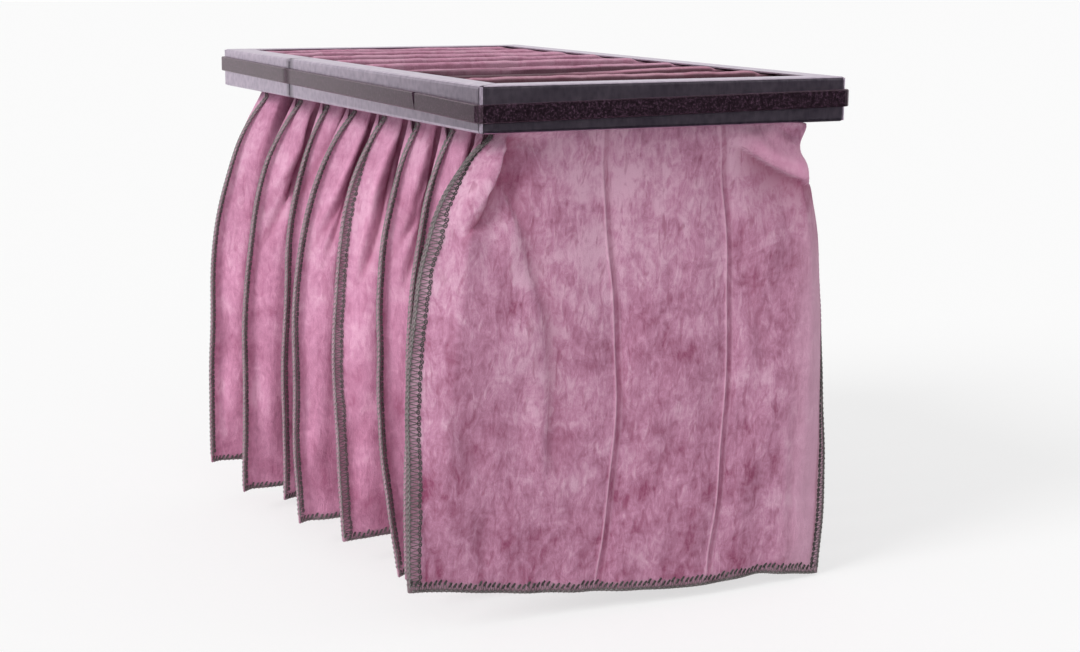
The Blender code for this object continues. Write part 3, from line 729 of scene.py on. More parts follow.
    def fins(self, down):
        """How far the bent sewn edges move in X and in Y: an arc that opens from the tip inward."""
        from_tip = self.from_tip[None, :] * self.slant[:, None]
        bent = np.clip(1.0 - from_tip / FIN_WIDTH, 0.0, 1.0) ** FIN_BEND * ramp(down, 0.0, 0.006)
        inward = 0.0
        lean = 0.0
        for side, turns in ((-1, LEFT_FIN_TURN), (1, RIGHT_FIN_TURN)):
            here = bent * (np.sign(self.columns - COLUMN_CELLS / 2) == side)[None, :]
            turn = turns[self.index] + (FIN_TURN_AT_NECK - turns[self.index]) * decay(down, FIN_SETTLES)
            if side > 0:
                turn = turn * (1.0 - FIN_RELAXES * ramp(down, 0.10, 0.13))
            angle = np.radians(turn)
            inward = inward - side * FIN_WIDTH * (1.0 - np.cos(angle)) * here
            lean = lean + side * FIN_WIDTH * np.sin(angle) * here
        return inward, lean

    def panels(self):
        """Grids (row, column, xyz) and normals of the front and back panels below the header."""
        left = self.seam(self.rows, -1)
        right = self.seam(self.rows, 1)
        inset = FOLD_AT_NECK + FOLD_GAIN * (1.0 - decay(self.rows, FOLD_LENGTH))
        thick = self.half_thickness(self.rows)
        self.slant = np.hypot(inset, thick - EDGE_HALF_THICKNESS)
        spacers = (self.spacer_x(self.rows, -1), self.spacer_x(self.rows, 1))
        x, half = self.section(left, right, inset, thick, spacers)
        down = self.rows[:, None] + 0.0 * x
        if self.index == 0:
            x, down = self.gathered(x, down)
        drop = self.hem_drop((x - left[:, None]) / (right - left)[:, None])
        body = np.clip(down / (POCKET_HANG - SEAM_ALLOWANCE), 0.0, 1.0)
        z = -(body * (POCKET_HANG + drop - SEAM_ALLOWANCE))
        z -= np.maximum(down - (POCKET_HANG - SEAM_ALLOWANCE), 0.0)
        inward, lean = self.fins(down)
        x = x + inward
        centre = self.middle + self.sway(x, down) + lean
        made = []
        self.shades = []
        for panel in (-1, 1):
            grid = np.stack((x, centre + panel * half, z), axis=-1)
            normals = unit(np.cross(np.gradient(grid, axis=0), np.gradient(grid, axis=1)))
            normals *= np.sign(np.median(normals[..., 1])) * panel
            lift, shade = self.relief(x, down, inset[:, None], thick[:, None], panel)
            self.shades.append(shade)
            made.append((grid + normals * lift[..., None], normals))
        self.plain = (x, centre, half, z)
        self.pale = ramp(x, 0.092, 0.030) * ramp(down, 0.045, 0.03) if self.index == 0 else 0.0 * x
        from_left, from_right = (x - self.spacer_x(down, side) for side in (-1, 1))
        self.from_seam_line = np.where(np.abs(from_left) < np.abs(from_right), from_left, from_right)
        return made

    def inner_half(self, media):
        """Half the space between the inner skins: well clear of the folds of the outer ones."""
        narrowed = INNER_SHARE + (1.0 - INNER_SHARE) * (1.0 - ramp(self.rows, 0.0, INNER_NARROWS)[:, None])
        return np.maximum((self.plain[2] - media) * narrowed, CLEARANCE)

    def header_rows(self, heights, reach_out=0.0, inside=0.0):
        """X and half thickness at each column inside the header, moved outward or inward."""
        rise = smooth_step(np.asarray(heights) / BAR_TOP)
        reach = NECK_HALF_WIDTH + (MOUTH_HALF_WIDTH - NECK_HALF_WIDTH) * rise - inside
        inset = FOLD_AT_NECK - BLUNT_END * rise
        ones = np.ones_like(rise)
        spacers = (self.spacer_x(0.0 * ones, -1), self.spacer_x(0.0 * ones, 1))
        x, half = self.section(-reach, reach, inset, (MOUTH_HALF - inside) * ones, spacers)
        if reach_out:
            dx = np.gradient(x, axis=1)
            dh = np.gradient(half, axis=1)
            length = np.hypot(dx, dh)
            x = x - reach_out * dh / length
            half = half + reach_out * dx / length
        return x, half

    def ring(self, x, half, z):
        """Front panel's points left to right, then the back panel's in return, at one or many heights."""
        ahead = np.column_stack((x, self.middle - half))
        behind = np.column_stack((x, self.middle + half))
        plan = np.concatenate((ahead, behind[::-1]))
        return np.column_stack((plan, np.broadcast_to(z, len(plan))))

    def rolled(self, reach, z):
        """Ring at the top of the header, moved outward by reach."""
        x, half = self.header_rows(np.array([BAR_TOP + CLEARANCE]), reach_out=reach)
        if reach >= ROLL_BEND:
            half = half + waved(ROLL_WANDER, x, 0.0 * x, ROLL_WANDER_SEED + self.index)
        return self.ring(x[0], half[0], z)

    def mouth_rings(self, media):
        """Rings from the header's underside over the bar's edge and back down inside.

        The panel climbs the bar, rolls outward over it, is tucked down into the bar and comes back
        over its own roll in a half circle.
        """
        heights = np.linspace(MOUTH_START, BAR_TOP + CLEARANCE, CLIMB_RINGS)
        x, half = self.header_rows(heights)
        rings = [self.ring(x[i], half[i], heights[i]) for i in range(CLIMB_RINGS)]
        top_x = x[-1]
        share = 0.5 + 0.5 * top_x / MOUTH_HALF_WIDTH
        rolls = []
        seed = ROLL_SEED + self.index
        for left, right in (ROLL_HEIGHTS[self.index][:2], ROLL_HEIGHTS[self.index][2:]):
            uneven = waved(ROLL_RIPPLES[0], top_x, 0.0, seed) + waved(ROLL_RIPPLES[1], top_x, 0.0, seed + 20)
            rolls.append(left + (right - left) * smooth_step(1.3 * share - 0.15) + uneven)
            seed += 7
        window = ramp(LIP_EDGE - np.abs(top_x), 0.0004, 0.007)
        window = np.concatenate((window, window[::-1]))
        under = heights[-1] + 0.0 * window
        end = HEADER_DEPTH - SHEET_METAL - ROLL_END
        level = ROLL_LEVEL + np.concatenate((rolls[0], rolls[1][::-1]))
        crest = np.maximum(end + (level - end) * window, heights[-1] + 3 * CLEARANCE)
        self.crest = crest
        hook = CLEARANCE + BAR_SHEET + CLEARANCE
        outside = hook + media
        rings.append(self.rolled(hook, under + CLEARANCE * (1.0 - window)))
        rings.append(self.rolled(hook, under - TUCK_LENGTH * window))
        rings.append(self.rolled(outside, under - TUCK_LENGTH * window))
        rings.append(self.rolled(outside, under - 0.5 * TUCK_LENGTH * window))
        shoulder = np.maximum(crest - ROLL_SHOULDER * window, under + 2 * CLEARANCE)
        for turn in np.linspace(0.0, 0.5, OVER_RINGS) * np.pi:
            reach = ROLL_BEND + (outside - ROLL_BEND) * np.cos(turn)
            rings.append(self.rolled(reach, shoulder + (crest - shoulder) * np.sin(turn)))
        for turn in np.linspace(0.15, 0.5, RETURN_RINGS) * np.pi:
            reach = ROLL_BEND - (media + ROLL_BEND) * np.sin(turn)
            rings.append(self.rolled(reach, shoulder + (crest - shoulder) * np.cos(turn)))
        heights = np.linspace(BAR_TOP - 0.002, MOUTH_START, INSIDE_RINGS)
        x, half = self.header_rows(heights, inside=media)
        rings += [self.ring(x[i], half[i], heights[i]) for i in range(INSIDE_RINGS)]
        return np.array(rings)


def pocket_marks(form, rings):
    """What is painted on a pocket's points, from 0 to 1 where nothing else is said.

    sewn under the stitches, edge on the bare rim, rolled over the bars, inside the painted shade
    down the mouth, seam_line centimetres from the nearer spacer seam, fold the painted shade in the
    folds and, where negative, the painted highlight on what stands out, pale by the right seam, and
    the painted light on the pockets behind the first, by which the colour is multiplied.
    """
    ring_count, count = rings.shape[:2]
    outer_count = len(form.rows)

    def painted(front, back, rest=0.0):
        """Marks of the two panels on the outer skin, which runs from the hem up, and rest elsewhere."""
        marks = np.full((ring_count, count), rest)
        marks[:outer_count] = around(front, back)[::-1]
        return marks

    from_tip = np.where(form.from_tip < 1.0, form.from_tip * form.slant[:, None], 1.0)
    from_hem = (POCKET_HANG - form.rows)[:, None]
    rim = 1.0 - ramp(np.minimum(from_tip, from_hem), MARK_EDGE, MARK_EDGE)
    side_share = from_tip / (form.stitch_depth(form.rows) + STITCH_MARGIN)[:, None]
    hem_share = from_hem / (HEM_STITCH_DEPTHS[form.index] + STITCH_MARGIN)
    reached = SEAM_ALLOWANCE * np.minimum(side_share, hem_share)
    band = 1.0 - ramp(reached, SEAM_ALLOWANCE - MARK_EDGE, MARK_EDGE)
    rolled = np.zeros((ring_count, count))
    mouth = outer_count + CLIMB_RINGS - 2
    rolled[mouth:outer_count + MOUTH_RINGS - 1] = BACK_ROLL_SHARE if form.index > 1 else 1.0
    # Painted shade down inside the mouth, and over the whole mouth where the roll sags low.
    inside = np.zeros((ring_count, count))
    low = ramp(ROLL_LEVEL - form.crest, MOUTH_SHADE_START, 0.0016)[None, :]
    inside[mouth:] = low
    after_crest = outer_count + CLIMB_RINGS + TUCK_RINGS + OVER_RINGS
    sunk = form.crest[None, :] - rings[after_crest:, :, 2]
    fading = 0.30 + 0.70 * decay(sunk - 0.004, 0.010)
    inside[after_crest:] = np.maximum(ramp(sunk, MOUTH_SHADE_START, 0.0013) * fading, low)
    # Painted light: the pockets behind the first are made paler, and more so towards their foot, to make up
    # for the shade of the pockets in front.
    bright = np.full((ring_count, count), 1.0 if form.index == 0 else BACK_POCKET_PAINTED_LIGHT)
    if form.index > 0:
        bright[:outer_count] *= 1.0 + FOOT_PAINTED_LIGHT * (form.rows[::-1] / POCKET_HANG)[:, None]
    return {
        "sewn": painted(band, band),
        "rolled": rolled,
        "inside": inside * (BACK_MOUTH_SHADE_SHARE if form.index > 2 else 1.0),
        "seam_line": 100.0 * painted(form.from_seam_line, form.from_seam_line, NO_SEAM),
        "fold": painted(*form.shades),
        "bright": bright,
        "edge": painted(rim, rim) * (BACK_EDGE_SHARE if form.index > 0 else 1.0),
        "pale": painted(form.pale, 0.0 * form.pale),
    }


def make_pocket(form, panels, media, finish):
    """A pocket: outer skin from hem to mouth, its roll over the bars, and the inner skin to the foot."""
    (front, _), (back, _) = panels
    last_row = len(form.rows) - HEM_ROWS - 1
    inner_rows = np.unique(np.append(np.arange(0, last_row + 1, INNER_STEP), last_row))
    plan_x, centre, _, z = (part[inner_rows] for part in form.plain)
    half = form.inner_half(media)[inner_rows]
    middle = plan_x.mean(axis=1, keepdims=True)
    plan_x = middle + (plan_x - middle) * (1.0 - 2 * CLEARANCE / HALF_WIDTH)
    inner = around(*(np.stack((plan_x, centre + side * half, z), axis=-1) for side in (-1, 1)))
    rings = np.concatenate((around(front, back)[::-1], form.mouth_rings(media), inner))
    faces = shell_faces(*rings.shape[:2])
    return add_object(f"media_pocket_{form.index + 1}", rings, faces, finish, pocket_marks(form, rings))


def make_spacer(form, seam, media, finish, name):
    """A strip between the inner skins at one spacer seam, bowed by a sine, its width and flat area."""
    column = int(np.argmin(np.abs(form.columns - seam)))
    start = int(np.searchsorted(form.rows, SPACER_TOP))
    rows = np.arange(start, len(form.rows) - HEM_ROWS - 2, 3)
    x, centre, _, z = (part[rows, column][:, None] for part in form.plain)
    half = form.inner_half(media)[rows, column][:, None] - CLEARANCE
    across = np.linspace(-1.0, 1.0, SPACER_POINTS)[None, :]
    down = form.rows[rows][:, None]
    bow = SPACER_BOW * (1.0 - across ** 2) * np.sin(2.0 * form.index + seam + down / 0.03)
    near = np.stack((x - media / 4 + bow, centre + across * half, z + 0.0 * bow), axis=-1)
    far = near + np.array((media / 2, 0.0, 0.0))
    rings = around(near, far)
    area = float(np.sum(2.0 * half[:-1] * np.abs(np.diff(z, axis=0))))
    strip = add_object(name, rings, shell_faces(*rings.shape[:2]), finish)
    return strip, round(float(2.0 * half.max()), 3), area


# Stitching


def sample(grid, row, column):
    """Points of a grid at fractional rows and columns, by bilinear interpolation."""
    row = np.clip(row, 0.0, grid.shape[0] - 1.001)
    column = np.clip(column, 0.0, grid.shape[1] - 1.001)
    i = row.astype(int)
    j = column.astype(int)
    a = (row - i)[..., None]
    b = (column - j)[..., None]
    low = grid[i, j] * (1 - b) + grid[i, j + 1] * b
    high = grid[i + 1, j] * (1 - b) + grid[i + 1, j + 1] * b
    return low * (1 - a) + high * a


def stitch_band(form, grid, normals, where):
    """One sewn edge: a function from (distance along, distance in) to points and normals, its length."""
    rows, columns = grid.shape[:2]
    if where == "hem":
        edge = grid[-1]
        lines = np.arange(columns)
    else:
        edge = grid[:, 0 if where == "left" else -1]
        lines = np.arange(rows)
    steps = np.linalg.norm(np.diff(edge, axis=0), axis=1)
    travelled = np.concatenate(([0.0], np.cumsum(steps)))

    def place(along, inward):
        line = np.interp(along, travelled, lines)
        if where == "hem":
            spot = (rows - 1 - inward / SEAM_ALLOWANCE * HEM_ROWS, line)
        else:
            share = inward / np.interp(line, lines, form.slant) * (SLANT_COLUMNS - 1)
            spot = (line, share if where == "left" else columns - 1 - share)
        return sample(grid, *spot), sample(normals, *spot)

    return place, travelled[-1]


def face_threads(form, place, length, where, radius, random):
    """Threads on one face of a sewn edge, as groups for joined, and the places of its stitches.

    Each stitch has two slanting legs, bowed by a sine, a closed loop on the inner line, which is an
    ellipse, and a length of edge thread along the rim, which waves by a sine.
    """
    leg, loop_points, edge_points, tones = FRONT_THREAD if form.index == 0 else BACK_THREAD
    leg = np.array(leg)
    hem = where == "hem"
    start = HEM_STITCH_START if hem else SIDE_STITCH_START
    count = int((length - start - STITCH_END) / STITCH_PITCH)
    beat = start + STITCH_PITCH * np.arange(count)
    beat = beat + BEAT_JITTER * (random.random(count) - 0.5)
    depth = HEM_STITCH_DEPTHS[form.index] if hem else form.stitch_depth(beat)
    depth = depth * (RIGHT_STITCH_SHARE if where == "right" else 1.0)
    jitter = HEM_DEPTH_JITTER if hem else SIDE_DEPTH_JITTER
    depth = (depth * (1.0 + jitter * (random.random(count) - 0.5)))[:, None]
    along = beat[:, None]
    groups = []
    for shift, share in ((0.0, 1.0 - leg), (1.0, leg)):
        spots, up = place(along + STITCH_PITCH / 2 * (leg + shift), depth * share)
        bow = LEG_BOW * np.sin(np.pi * leg)[None, :, None] + radius * 0.75
        groups.append((*tubes(spots + up * bow, up, radius * LEG_RADII), tones[0]))
    turn = 2 * np.pi * np.arange(loop_points) / loop_points
    loop_length, loop_width, slope = HEM_LOOP if hem else SIDE_LOOP
    inward = loop_width * np.sin(turn)
    spots, up = place(along + loop_length * np.cos(turn) + slope * inward, depth - LOOP_SETBACK + inward)
    groups.append((*tubes(spots + up * radius * 1.1, up, radius * LOOP_RADII, closed=True), tones[1]))
    part = np.linspace(0.0, 1.0, edge_points)
    edge_in = EDGE_THREAD_IN + EDGE_THREAD_WAVE * np.sin(2 * np.pi * part) + 0.0 * along
    spots, up = place(along + STITCH_PITCH * part, edge_in)
    groups.append((*tubes(spots + up * radius, up, radius * EDGE_RADII), tones[2]))
    return groups, beat


def make_stitching(form, panels, radius, finish):
    """Overlock thread on both faces of the sewn edges, and the purls that cross the rim between them.

    A purl goes from a stitch's foot on the front face, over a point a thread's radius outside the
    rim, to its foot on the back face.
    """
    groups = []
    purl_tone = (FRONT_THREAD if form.index == 0 else BACK_THREAD)[3][3]
    random = np.random.default_rng(STITCH_SEED + form.index)
    for where in ("left", "hem", "right"):
        bands = [stitch_band(form, grid, normals, where) for grid, normals in panels]
        feet = []
        for (place, length), shift in zip(bands, (0.25, 0.75)):
            threads, beat = face_threads(form, place, length, where, radius, random)
            groups += threads
            feet.append(place(beat + shift * STITCH_PITCH, 0.0 * beat)[0])
        count = min(len(spots) for spots in feet)
        front, back = (spots[:count] for spots in feet)
        inner = sum(place(beat[:count], np.full(count, 0.004))[0] for place, _ in bands)
        outward = unit(front + back - inner)
        purl = np.stack((front, (front + back) / 2 + outward * radius, back), axis=1)
        normals = np.repeat(outward[:, None], 3, axis=1)
        groups.append((*tubes(purl, normals, radius * PURL_RADII), purl_tone))
    points, faces, tone = joined(groups)
    return add_object(f"overlock_thread_{form.index + 1}", points, faces, finish, {"tone": tone})


# Materials


class Signal:
    """A socket with arithmetic: each operator adds a Math node to the same paint."""

    def __init__(self, paint, socket):
        self.paint = paint
        self.socket = socket

    def math(self, operation, *values):
        """The output of a Math node over these values."""
        return self.paint.node("ShaderNodeMath", {"operation": operation}, dict(enumerate(values)))

    def __add__(self, other):
        return self.math("ADD", self, other)

    def __radd__(self, other):
        return self.math("ADD", other, self)

    def __sub__(self, other):
        return self.math("SUBTRACT", self, other)

    def __rsub__(self, other):
        return self.math("SUBTRACT", other, self)

    def __mul__(self, other):
        return self.math("MULTIPLY", self, other)

    def __rmul__(self, other):
        return self.math("MULTIPLY", other, self)

    def clamp(self, low=0.0, high=1.0):
        """The signal mapped from low..high to 0..1 and cut off there."""
        span = self.math("DIVIDE", self - low, high - low)
        return self.math("MINIMUM", self.math("MAXIMUM", span, 0.0), 1.0)


class Nodes:
    """A node tree being written."""

    def __init__(self, tree):
        self.tree = tree

    def feed(self, slot, value):
        """Link a signal to a socket, or set a plain value there."""
        if isinstance(value, Signal):
            self.tree.links.new(value.socket, slot)
        elif slot.type == "RGBA" and len(value) == 3:
            slot.default_value = (*value, 1.0)
        else:
            slot.default_value = value

    def node(self, kind, settings=None, inputs=None, output=0):
        """Add one node: its settings first, then its sockets, and hand back one output."""
        made = self.tree.nodes.new(kind)
        for key, value in (settings or {}).items():
            if key == "stops":
                elements = made.color_ramp.elements
                while len(elements) < len(value):
                    elements.new(0.5)
                for stop, (place, colour) in zip(elements, value):
                    stop.position = place
                    stop.color = (*colour, 1.0)
            else:
                setattr(made, key, value)
        for key, value in (inputs or {}).items():
            self.feed(made.inputs[key], value)
        return Signal(self, made.outputs[output])

    def seen(self):
        """1 for rays from the camera and for reflected and transmitted ones, 0 for the others."""
        camera, glossy, through = (
            self.node("ShaderNodeLightPath", output=f"Is {kind} Ray")
            for kind in ("Camera", "Glossy", "Transmission")
        )
        return camera.math("MAXIMUM", camera.math("MAXIMUM", camera, glossy), through)


class Paint(Nodes):
    """A material being written, from its nodes and one Principled shader."""

    def __init__(self, name):
        self.material = bpy.data.materials.new(name)
        self.material.use_nodes = True
        super().__init__(self.material.node_tree)
        self.shader = self.tree.nodes["Principled BSDF"]

    def place(self, scale=(1.0, 1.0, 1.0), turn=(0.0, 0.0, 0.0), shift=(0.0, 0.0, 0.0)):
        """Object coordinates, scaled and turned."""
        coordinates = self.node("ShaderNodeTexCoord", output="Object")
        return self.node(
            "ShaderNodeMapping",
            inputs={"Vector": coordinates, "Location": shift, "Rotation": turn, "Scale": scale},
        )

    def noise(self, vector, scale, detail=2.0, roughness=0.5, distortion=0.0):
        """Noise from 0 to 1 at so many lumps a metre."""
        values = {"Vector": vector, "Scale": scale, "Detail": detail}
        values.update({"Roughness": roughness, "Distortion": distortion})
        return self.node("ShaderNodeTexNoise", inputs=values)

    def mix(self, share, first, second):
        """Blend two colours."""
        inputs = {"Factor": share, 6: first, 7: second}
        return self.node("ShaderNodeMix", {"data_type": "RGBA"}, inputs, output=2)

    def attribute(self, name):
        """A float painted on the mesh."""
        return self.node("ShaderNodeAttribute", {"attribute_name": name}, output="Fac")

    def lap_shade(self):
        """1 across the band of painted shade over the lap joint of the left rail, 0 elsewhere."""
        place = {"Vector": self.place()}
        across, along = (self.node("ShaderNodeSeparateXYZ", inputs=place, output=axis) for axis in "XY")
        apart = along - LAP_PLACE
        left = (across * -1.0).clamp(HALF_WIDTH - 0.004, HALF_WIDTH - 0.002)
        return (1.0 - apart.math("ABSOLUTE", apart).clamp(0.001, 0.008)) * left

    def bump(self, height, distance, strength=1.0, below=None):
        """A bumped normal from a height signal."""
        values = {"Height": height, "Distance": distance, "Strength": strength}
        if below is not None:
            values["Normal"] = below
        return self.node("ShaderNodeBump", inputs=values)

    def finish(self, **values):
        """Set the shader's sockets: names have underscores for spaces."""
        for key, value in values.items():
            self.feed(self.shader.inputs[key.replace("_", " ")], value)
        return self.material


def media_finish(colours):
    """Pink fleece: blotches, slanting fibre streaks, pale bloom and greyer sewn edges, with painted light:
    lighter towards the top, painted shade in folds, beside spacer seams and down the mouths, and painted
    highlights.
    """
    paint = Paint("pink_media_fleece")
    flat = paint.place()
    leaning = paint.place(scale=(1.0, 1.0, 0.36), turn=(0.0, math.radians(13.0), 0.0))
    blotch = paint.noise(flat, 24.0, 4.0, 0.62, 0.6)
    cloud = paint.noise(paint.place(scale=(1.0, 1.0, 1.5), shift=(3.1, 1.7, 0.4)), 38.0, 5.0, 0.66, 0.9)
    streak = paint.noise(leaning, 230.0, 4.0, 0.68, 1.0)
    mottle = paint.noise(paint.place(scale=(1.0, 1.0, 0.6), shift=(0.7, 2.3, 1.1)), 120.0, 4.0, 0.70, 1.4)
    slender = paint.place(scale=(1.0, 1.0, 0.16), turn=(0.0, math.radians(12.0), 0.3))
    fibre = paint.noise(slender, 900.0, 3.0, 0.7)
    height = paint.node("ShaderNodeSeparateXYZ", inputs={"Vector": flat}, output="Z")
    tone = 0.46 * blotch.clamp(0.32, 0.68) + 0.24 * cloud.clamp(0.34, 0.66)
    tone = tone + 0.32 * mottle.clamp(0.32, 0.68) + 0.30 * streak.clamp(0.32, 0.68) + 0.06 * fibre
    # Painted light: the fleece is lighter towards the top, under the header, and darker towards the hem.
    tone = tone + (height + 0.145) * 0.90
    stops = [
        (0.26, colours.media_deep_and_shadow),
        (0.50, colours.media_mid),
        (0.74, colours.media_pale),
        (1.06, colours.media_bloom_and_highlight),
    ]
    fleece = paint.node("ShaderNodeValToRGB", {"stops": stops}, {"Fac": tone})
    tall = paint.place(scale=(1.0, 1.0, 0.30), turn=(0.0, math.radians(9.0), 0.0), shift=(1.9, 0.6, 2.2))
    strokes = paint.noise(tall, 210.0, 2.0, 0.55, 0.8).clamp(0.58, 0.72)
    fleece = paint.mix(strokes * 0.50, fleece, colours.media_deep_and_shadow)
    fleece = paint.mix(paint.attribute("pale") * 0.72, fleece, colours.media_bloom_and_highlight)
    sewn = paint.attribute("sewn")
    rolled = paint.attribute("rolled")
    inside = paint.attribute("inside")
    offset = paint.attribute("seam_line")
    # Painted shadow to the right of each spacer seam, and painted highlight on its ridge and on a band beyond
    # the shadow.
    band = offset.clamp(0.03, 0.14) * (1.0 - offset.clamp(0.34, 0.58))
    fleece = paint.mix(band * 0.42, fleece, colours.media_deep_and_shadow)
    line = 1.0 - offset.math("ABSOLUTE", offset).clamp(0.03, 0.09)
    beyond = 1.0 - offset.math("ABSOLUTE", offset - 0.44).clamp(0.02, 0.08)
    fleece = paint.mix(line * 0.60 + beyond * 0.22, fleece, colours.media_bloom_and_highlight)
    # Painted shade in the folds, and where the mark is negative, painted highlight on what stands out.
    fold = paint.attribute("fold")
    fleece = paint.mix(fold.clamp(0.0, 1.0) * 0.80, fleece, colours.media_fold_shade)
    fleece = paint.mix((fold * -1.0).clamp(0.0, 1.0) * 0.58, fleece, colours.media_fold_highlight)
    # Painted light on the pockets behind the first: their colour is mixed a little toward lilac and
    # multiplied up.
    bright = paint.attribute("bright")
    fleece = paint.mix(bright.clamp(1.0, 1.12) * 0.34, fleece, colours.media_pale)
    fleece = paint.node("ShaderNodeVectorMath", {"operation": "SCALE"}, {"Vector": fleece, "Scale": bright})
    sewn_tone = paint.mix(0.40, fleece, colours.sewn_grey)
    colour = paint.mix(sewn, fleece, sewn_tone)
    colour = paint.mix(paint.attribute("edge") * 0.75, colour, colours.edge_thread)
    colour = paint.mix(rolled * 0.45, colour, colours.media_rolled)
    # Painted shade down inside the mouths.
    colour = paint.mix(inside * 0.85, colour, colours.media_shadow)
    fuzz = paint.noise(flat, 1500.0, 3.0, 0.7)
    pile = 0.45 * streak + 0.25 * fibre + 0.35 * fuzz + 0.6 * cloud + 0.5 * mottle
    normal = paint.bump(pile, 0.0010, 0.75)
    return paint.finish(
        Base_Color=colour,
        Roughness=0.92,
        Normal=normal,
        Specular_IOR_Level=0.10,
        Sheen_Weight=0.08,
        Sheen_Roughness=0.55,
    )


def thread_finish(colours):
    """Twisted polyester thread, near black in the chain and paler in the legs."""
    paint = Paint("overlock_thread_twist")
    grain = paint.noise(paint.place(), 700.0, 2.0, 0.6)
    slow = paint.noise(paint.place(), 90.0, 2.0, 0.5)
    tone = paint.attribute("tone") + (slow - 0.5) * 0.9 + (grain - 0.5) * 0.5
    colour = paint.mix(tone.clamp(-0.2, 0.9), colours.thread_dark, colours.thread_pale)
    normal = paint.bump(grain, 0.0003, 0.6)
    return paint.finish(
        Base_Color=colour, Roughness=0.7, Normal=normal, Specular_IOR_Level=0.3, Sheen_Weight=0.15
    )


def steel_finish(name, colour, dull, roughness):
    """Galvanised sheet: soft spangle, faint upright streaks and a few dull patches."""
    paint = Paint(name)
    flat = paint.place()
    spangle = paint.node(
        "ShaderNodeTexVoronoi", {"feature": "SMOOTH_F1"}, {"Vector": flat, "Scale": 260.0, "Smoothness": 0.6}
    )
    streak = paint.noise(paint.place(scale=(1.0, 1.0, 0.30)), 620.0, 3.0, 0.65, 0.5)
    cloud = paint.noise(flat, 55.0, 3.0, 0.6)
    shade = 0.45 * streak + 0.35 * spangle + 0.30 * cloud
    tint = paint.mix(shade.clamp(0.36, 0.72), dull, colour)
    # Painted shade over the lap joint of the left rail.
    tint = paint.mix(paint.lap_shade() * 0.75, tint, LAP_SHADE_COLOUR)
    rough = roughness - 0.08 + 0.18 * streak + 0.06 * cloud
    normal = paint.bump(0.6 * streak + 0.4 * spangle, 0.00018, 0.6)
    return paint.finish(Base_Color=tint, Metallic=1.0, Roughness=rough, Normal=normal)


def foam_finish(colours):
    """Closed-cell black foam with fine cells and pale specks of dust."""
    paint = Paint("black_cell_foam")
    flat = paint.place()
    cells = paint.node("ShaderNodeTexVoronoi", {}, {"Vector": flat, "Scale": 1700.0})
    grain = paint.noise(flat, 1100.0, 3.0, 0.7)
    dust = paint.noise(flat, 900.0, 4.0, 0.80)
    colour = paint.mix(dust.clamp(0.50, 0.64) * 0.8, colours.foam, colours.foam_dust)
    worn = paint.lap_shade()
    normal = paint.bump(0.6 * cells + 0.5 * grain, 0.00012, 0.6)
    return paint.finish(
        Base_Color=colour,
        Roughness=0.24 + 0.16 * grain + 0.30 * worn,
        Normal=normal,
        Specular_IOR_Level=0.85,
        Specular_Tint=(1.0, 0.70, 0.84, 1.0),
        Sheen_Weight=0.12,
        Sheen_Roughness=0.4,
        Sheen_Tint=(1.0, 0.55, 0.75, 1.0),
    )


def spacer_finish(colours):
    """Pale fleece of the spacer strips."""
    paint = Paint("spacer_fleece")
    streak = paint.noise(paint.place(scale=(1.0, 1.0, 0.3)), 300.0, 3.0, 0.6)
    colour = paint.mix(streak.clamp(0.3, 0.7), colours.media_mid, colours.media_pale)
    return paint.finish(Base_Color=colour, Roughness=0.92, Normal=paint.bump(streak, 0.0006, 0.6))


# Settings


def colour_setting(name, description, default):
    """A colour property with its default in linear light."""
    return FloatVectorProperty(
        name=name, description=description, subtype="COLOR", size=3, min=0.0, max=1.0, default=default
    )


class FilterSizes(bpy.types.PropertyGroup):
    """Sizes that a user would change."""

    media: FloatProperty(
        name="Media thickness", description="Thickness of the fleece", default=0.002, unit="LENGTH"
    )
    thread: FloatProperty(
        name="Thread radius", description="Half the thread's diameter", default=0.00030, unit="LENGTH"
    )
    floor_drop: FloatProperty(
        name="Floor drop", description="Gap from the lowest hem to the floor", default=0.003, unit="LENGTH"
    )


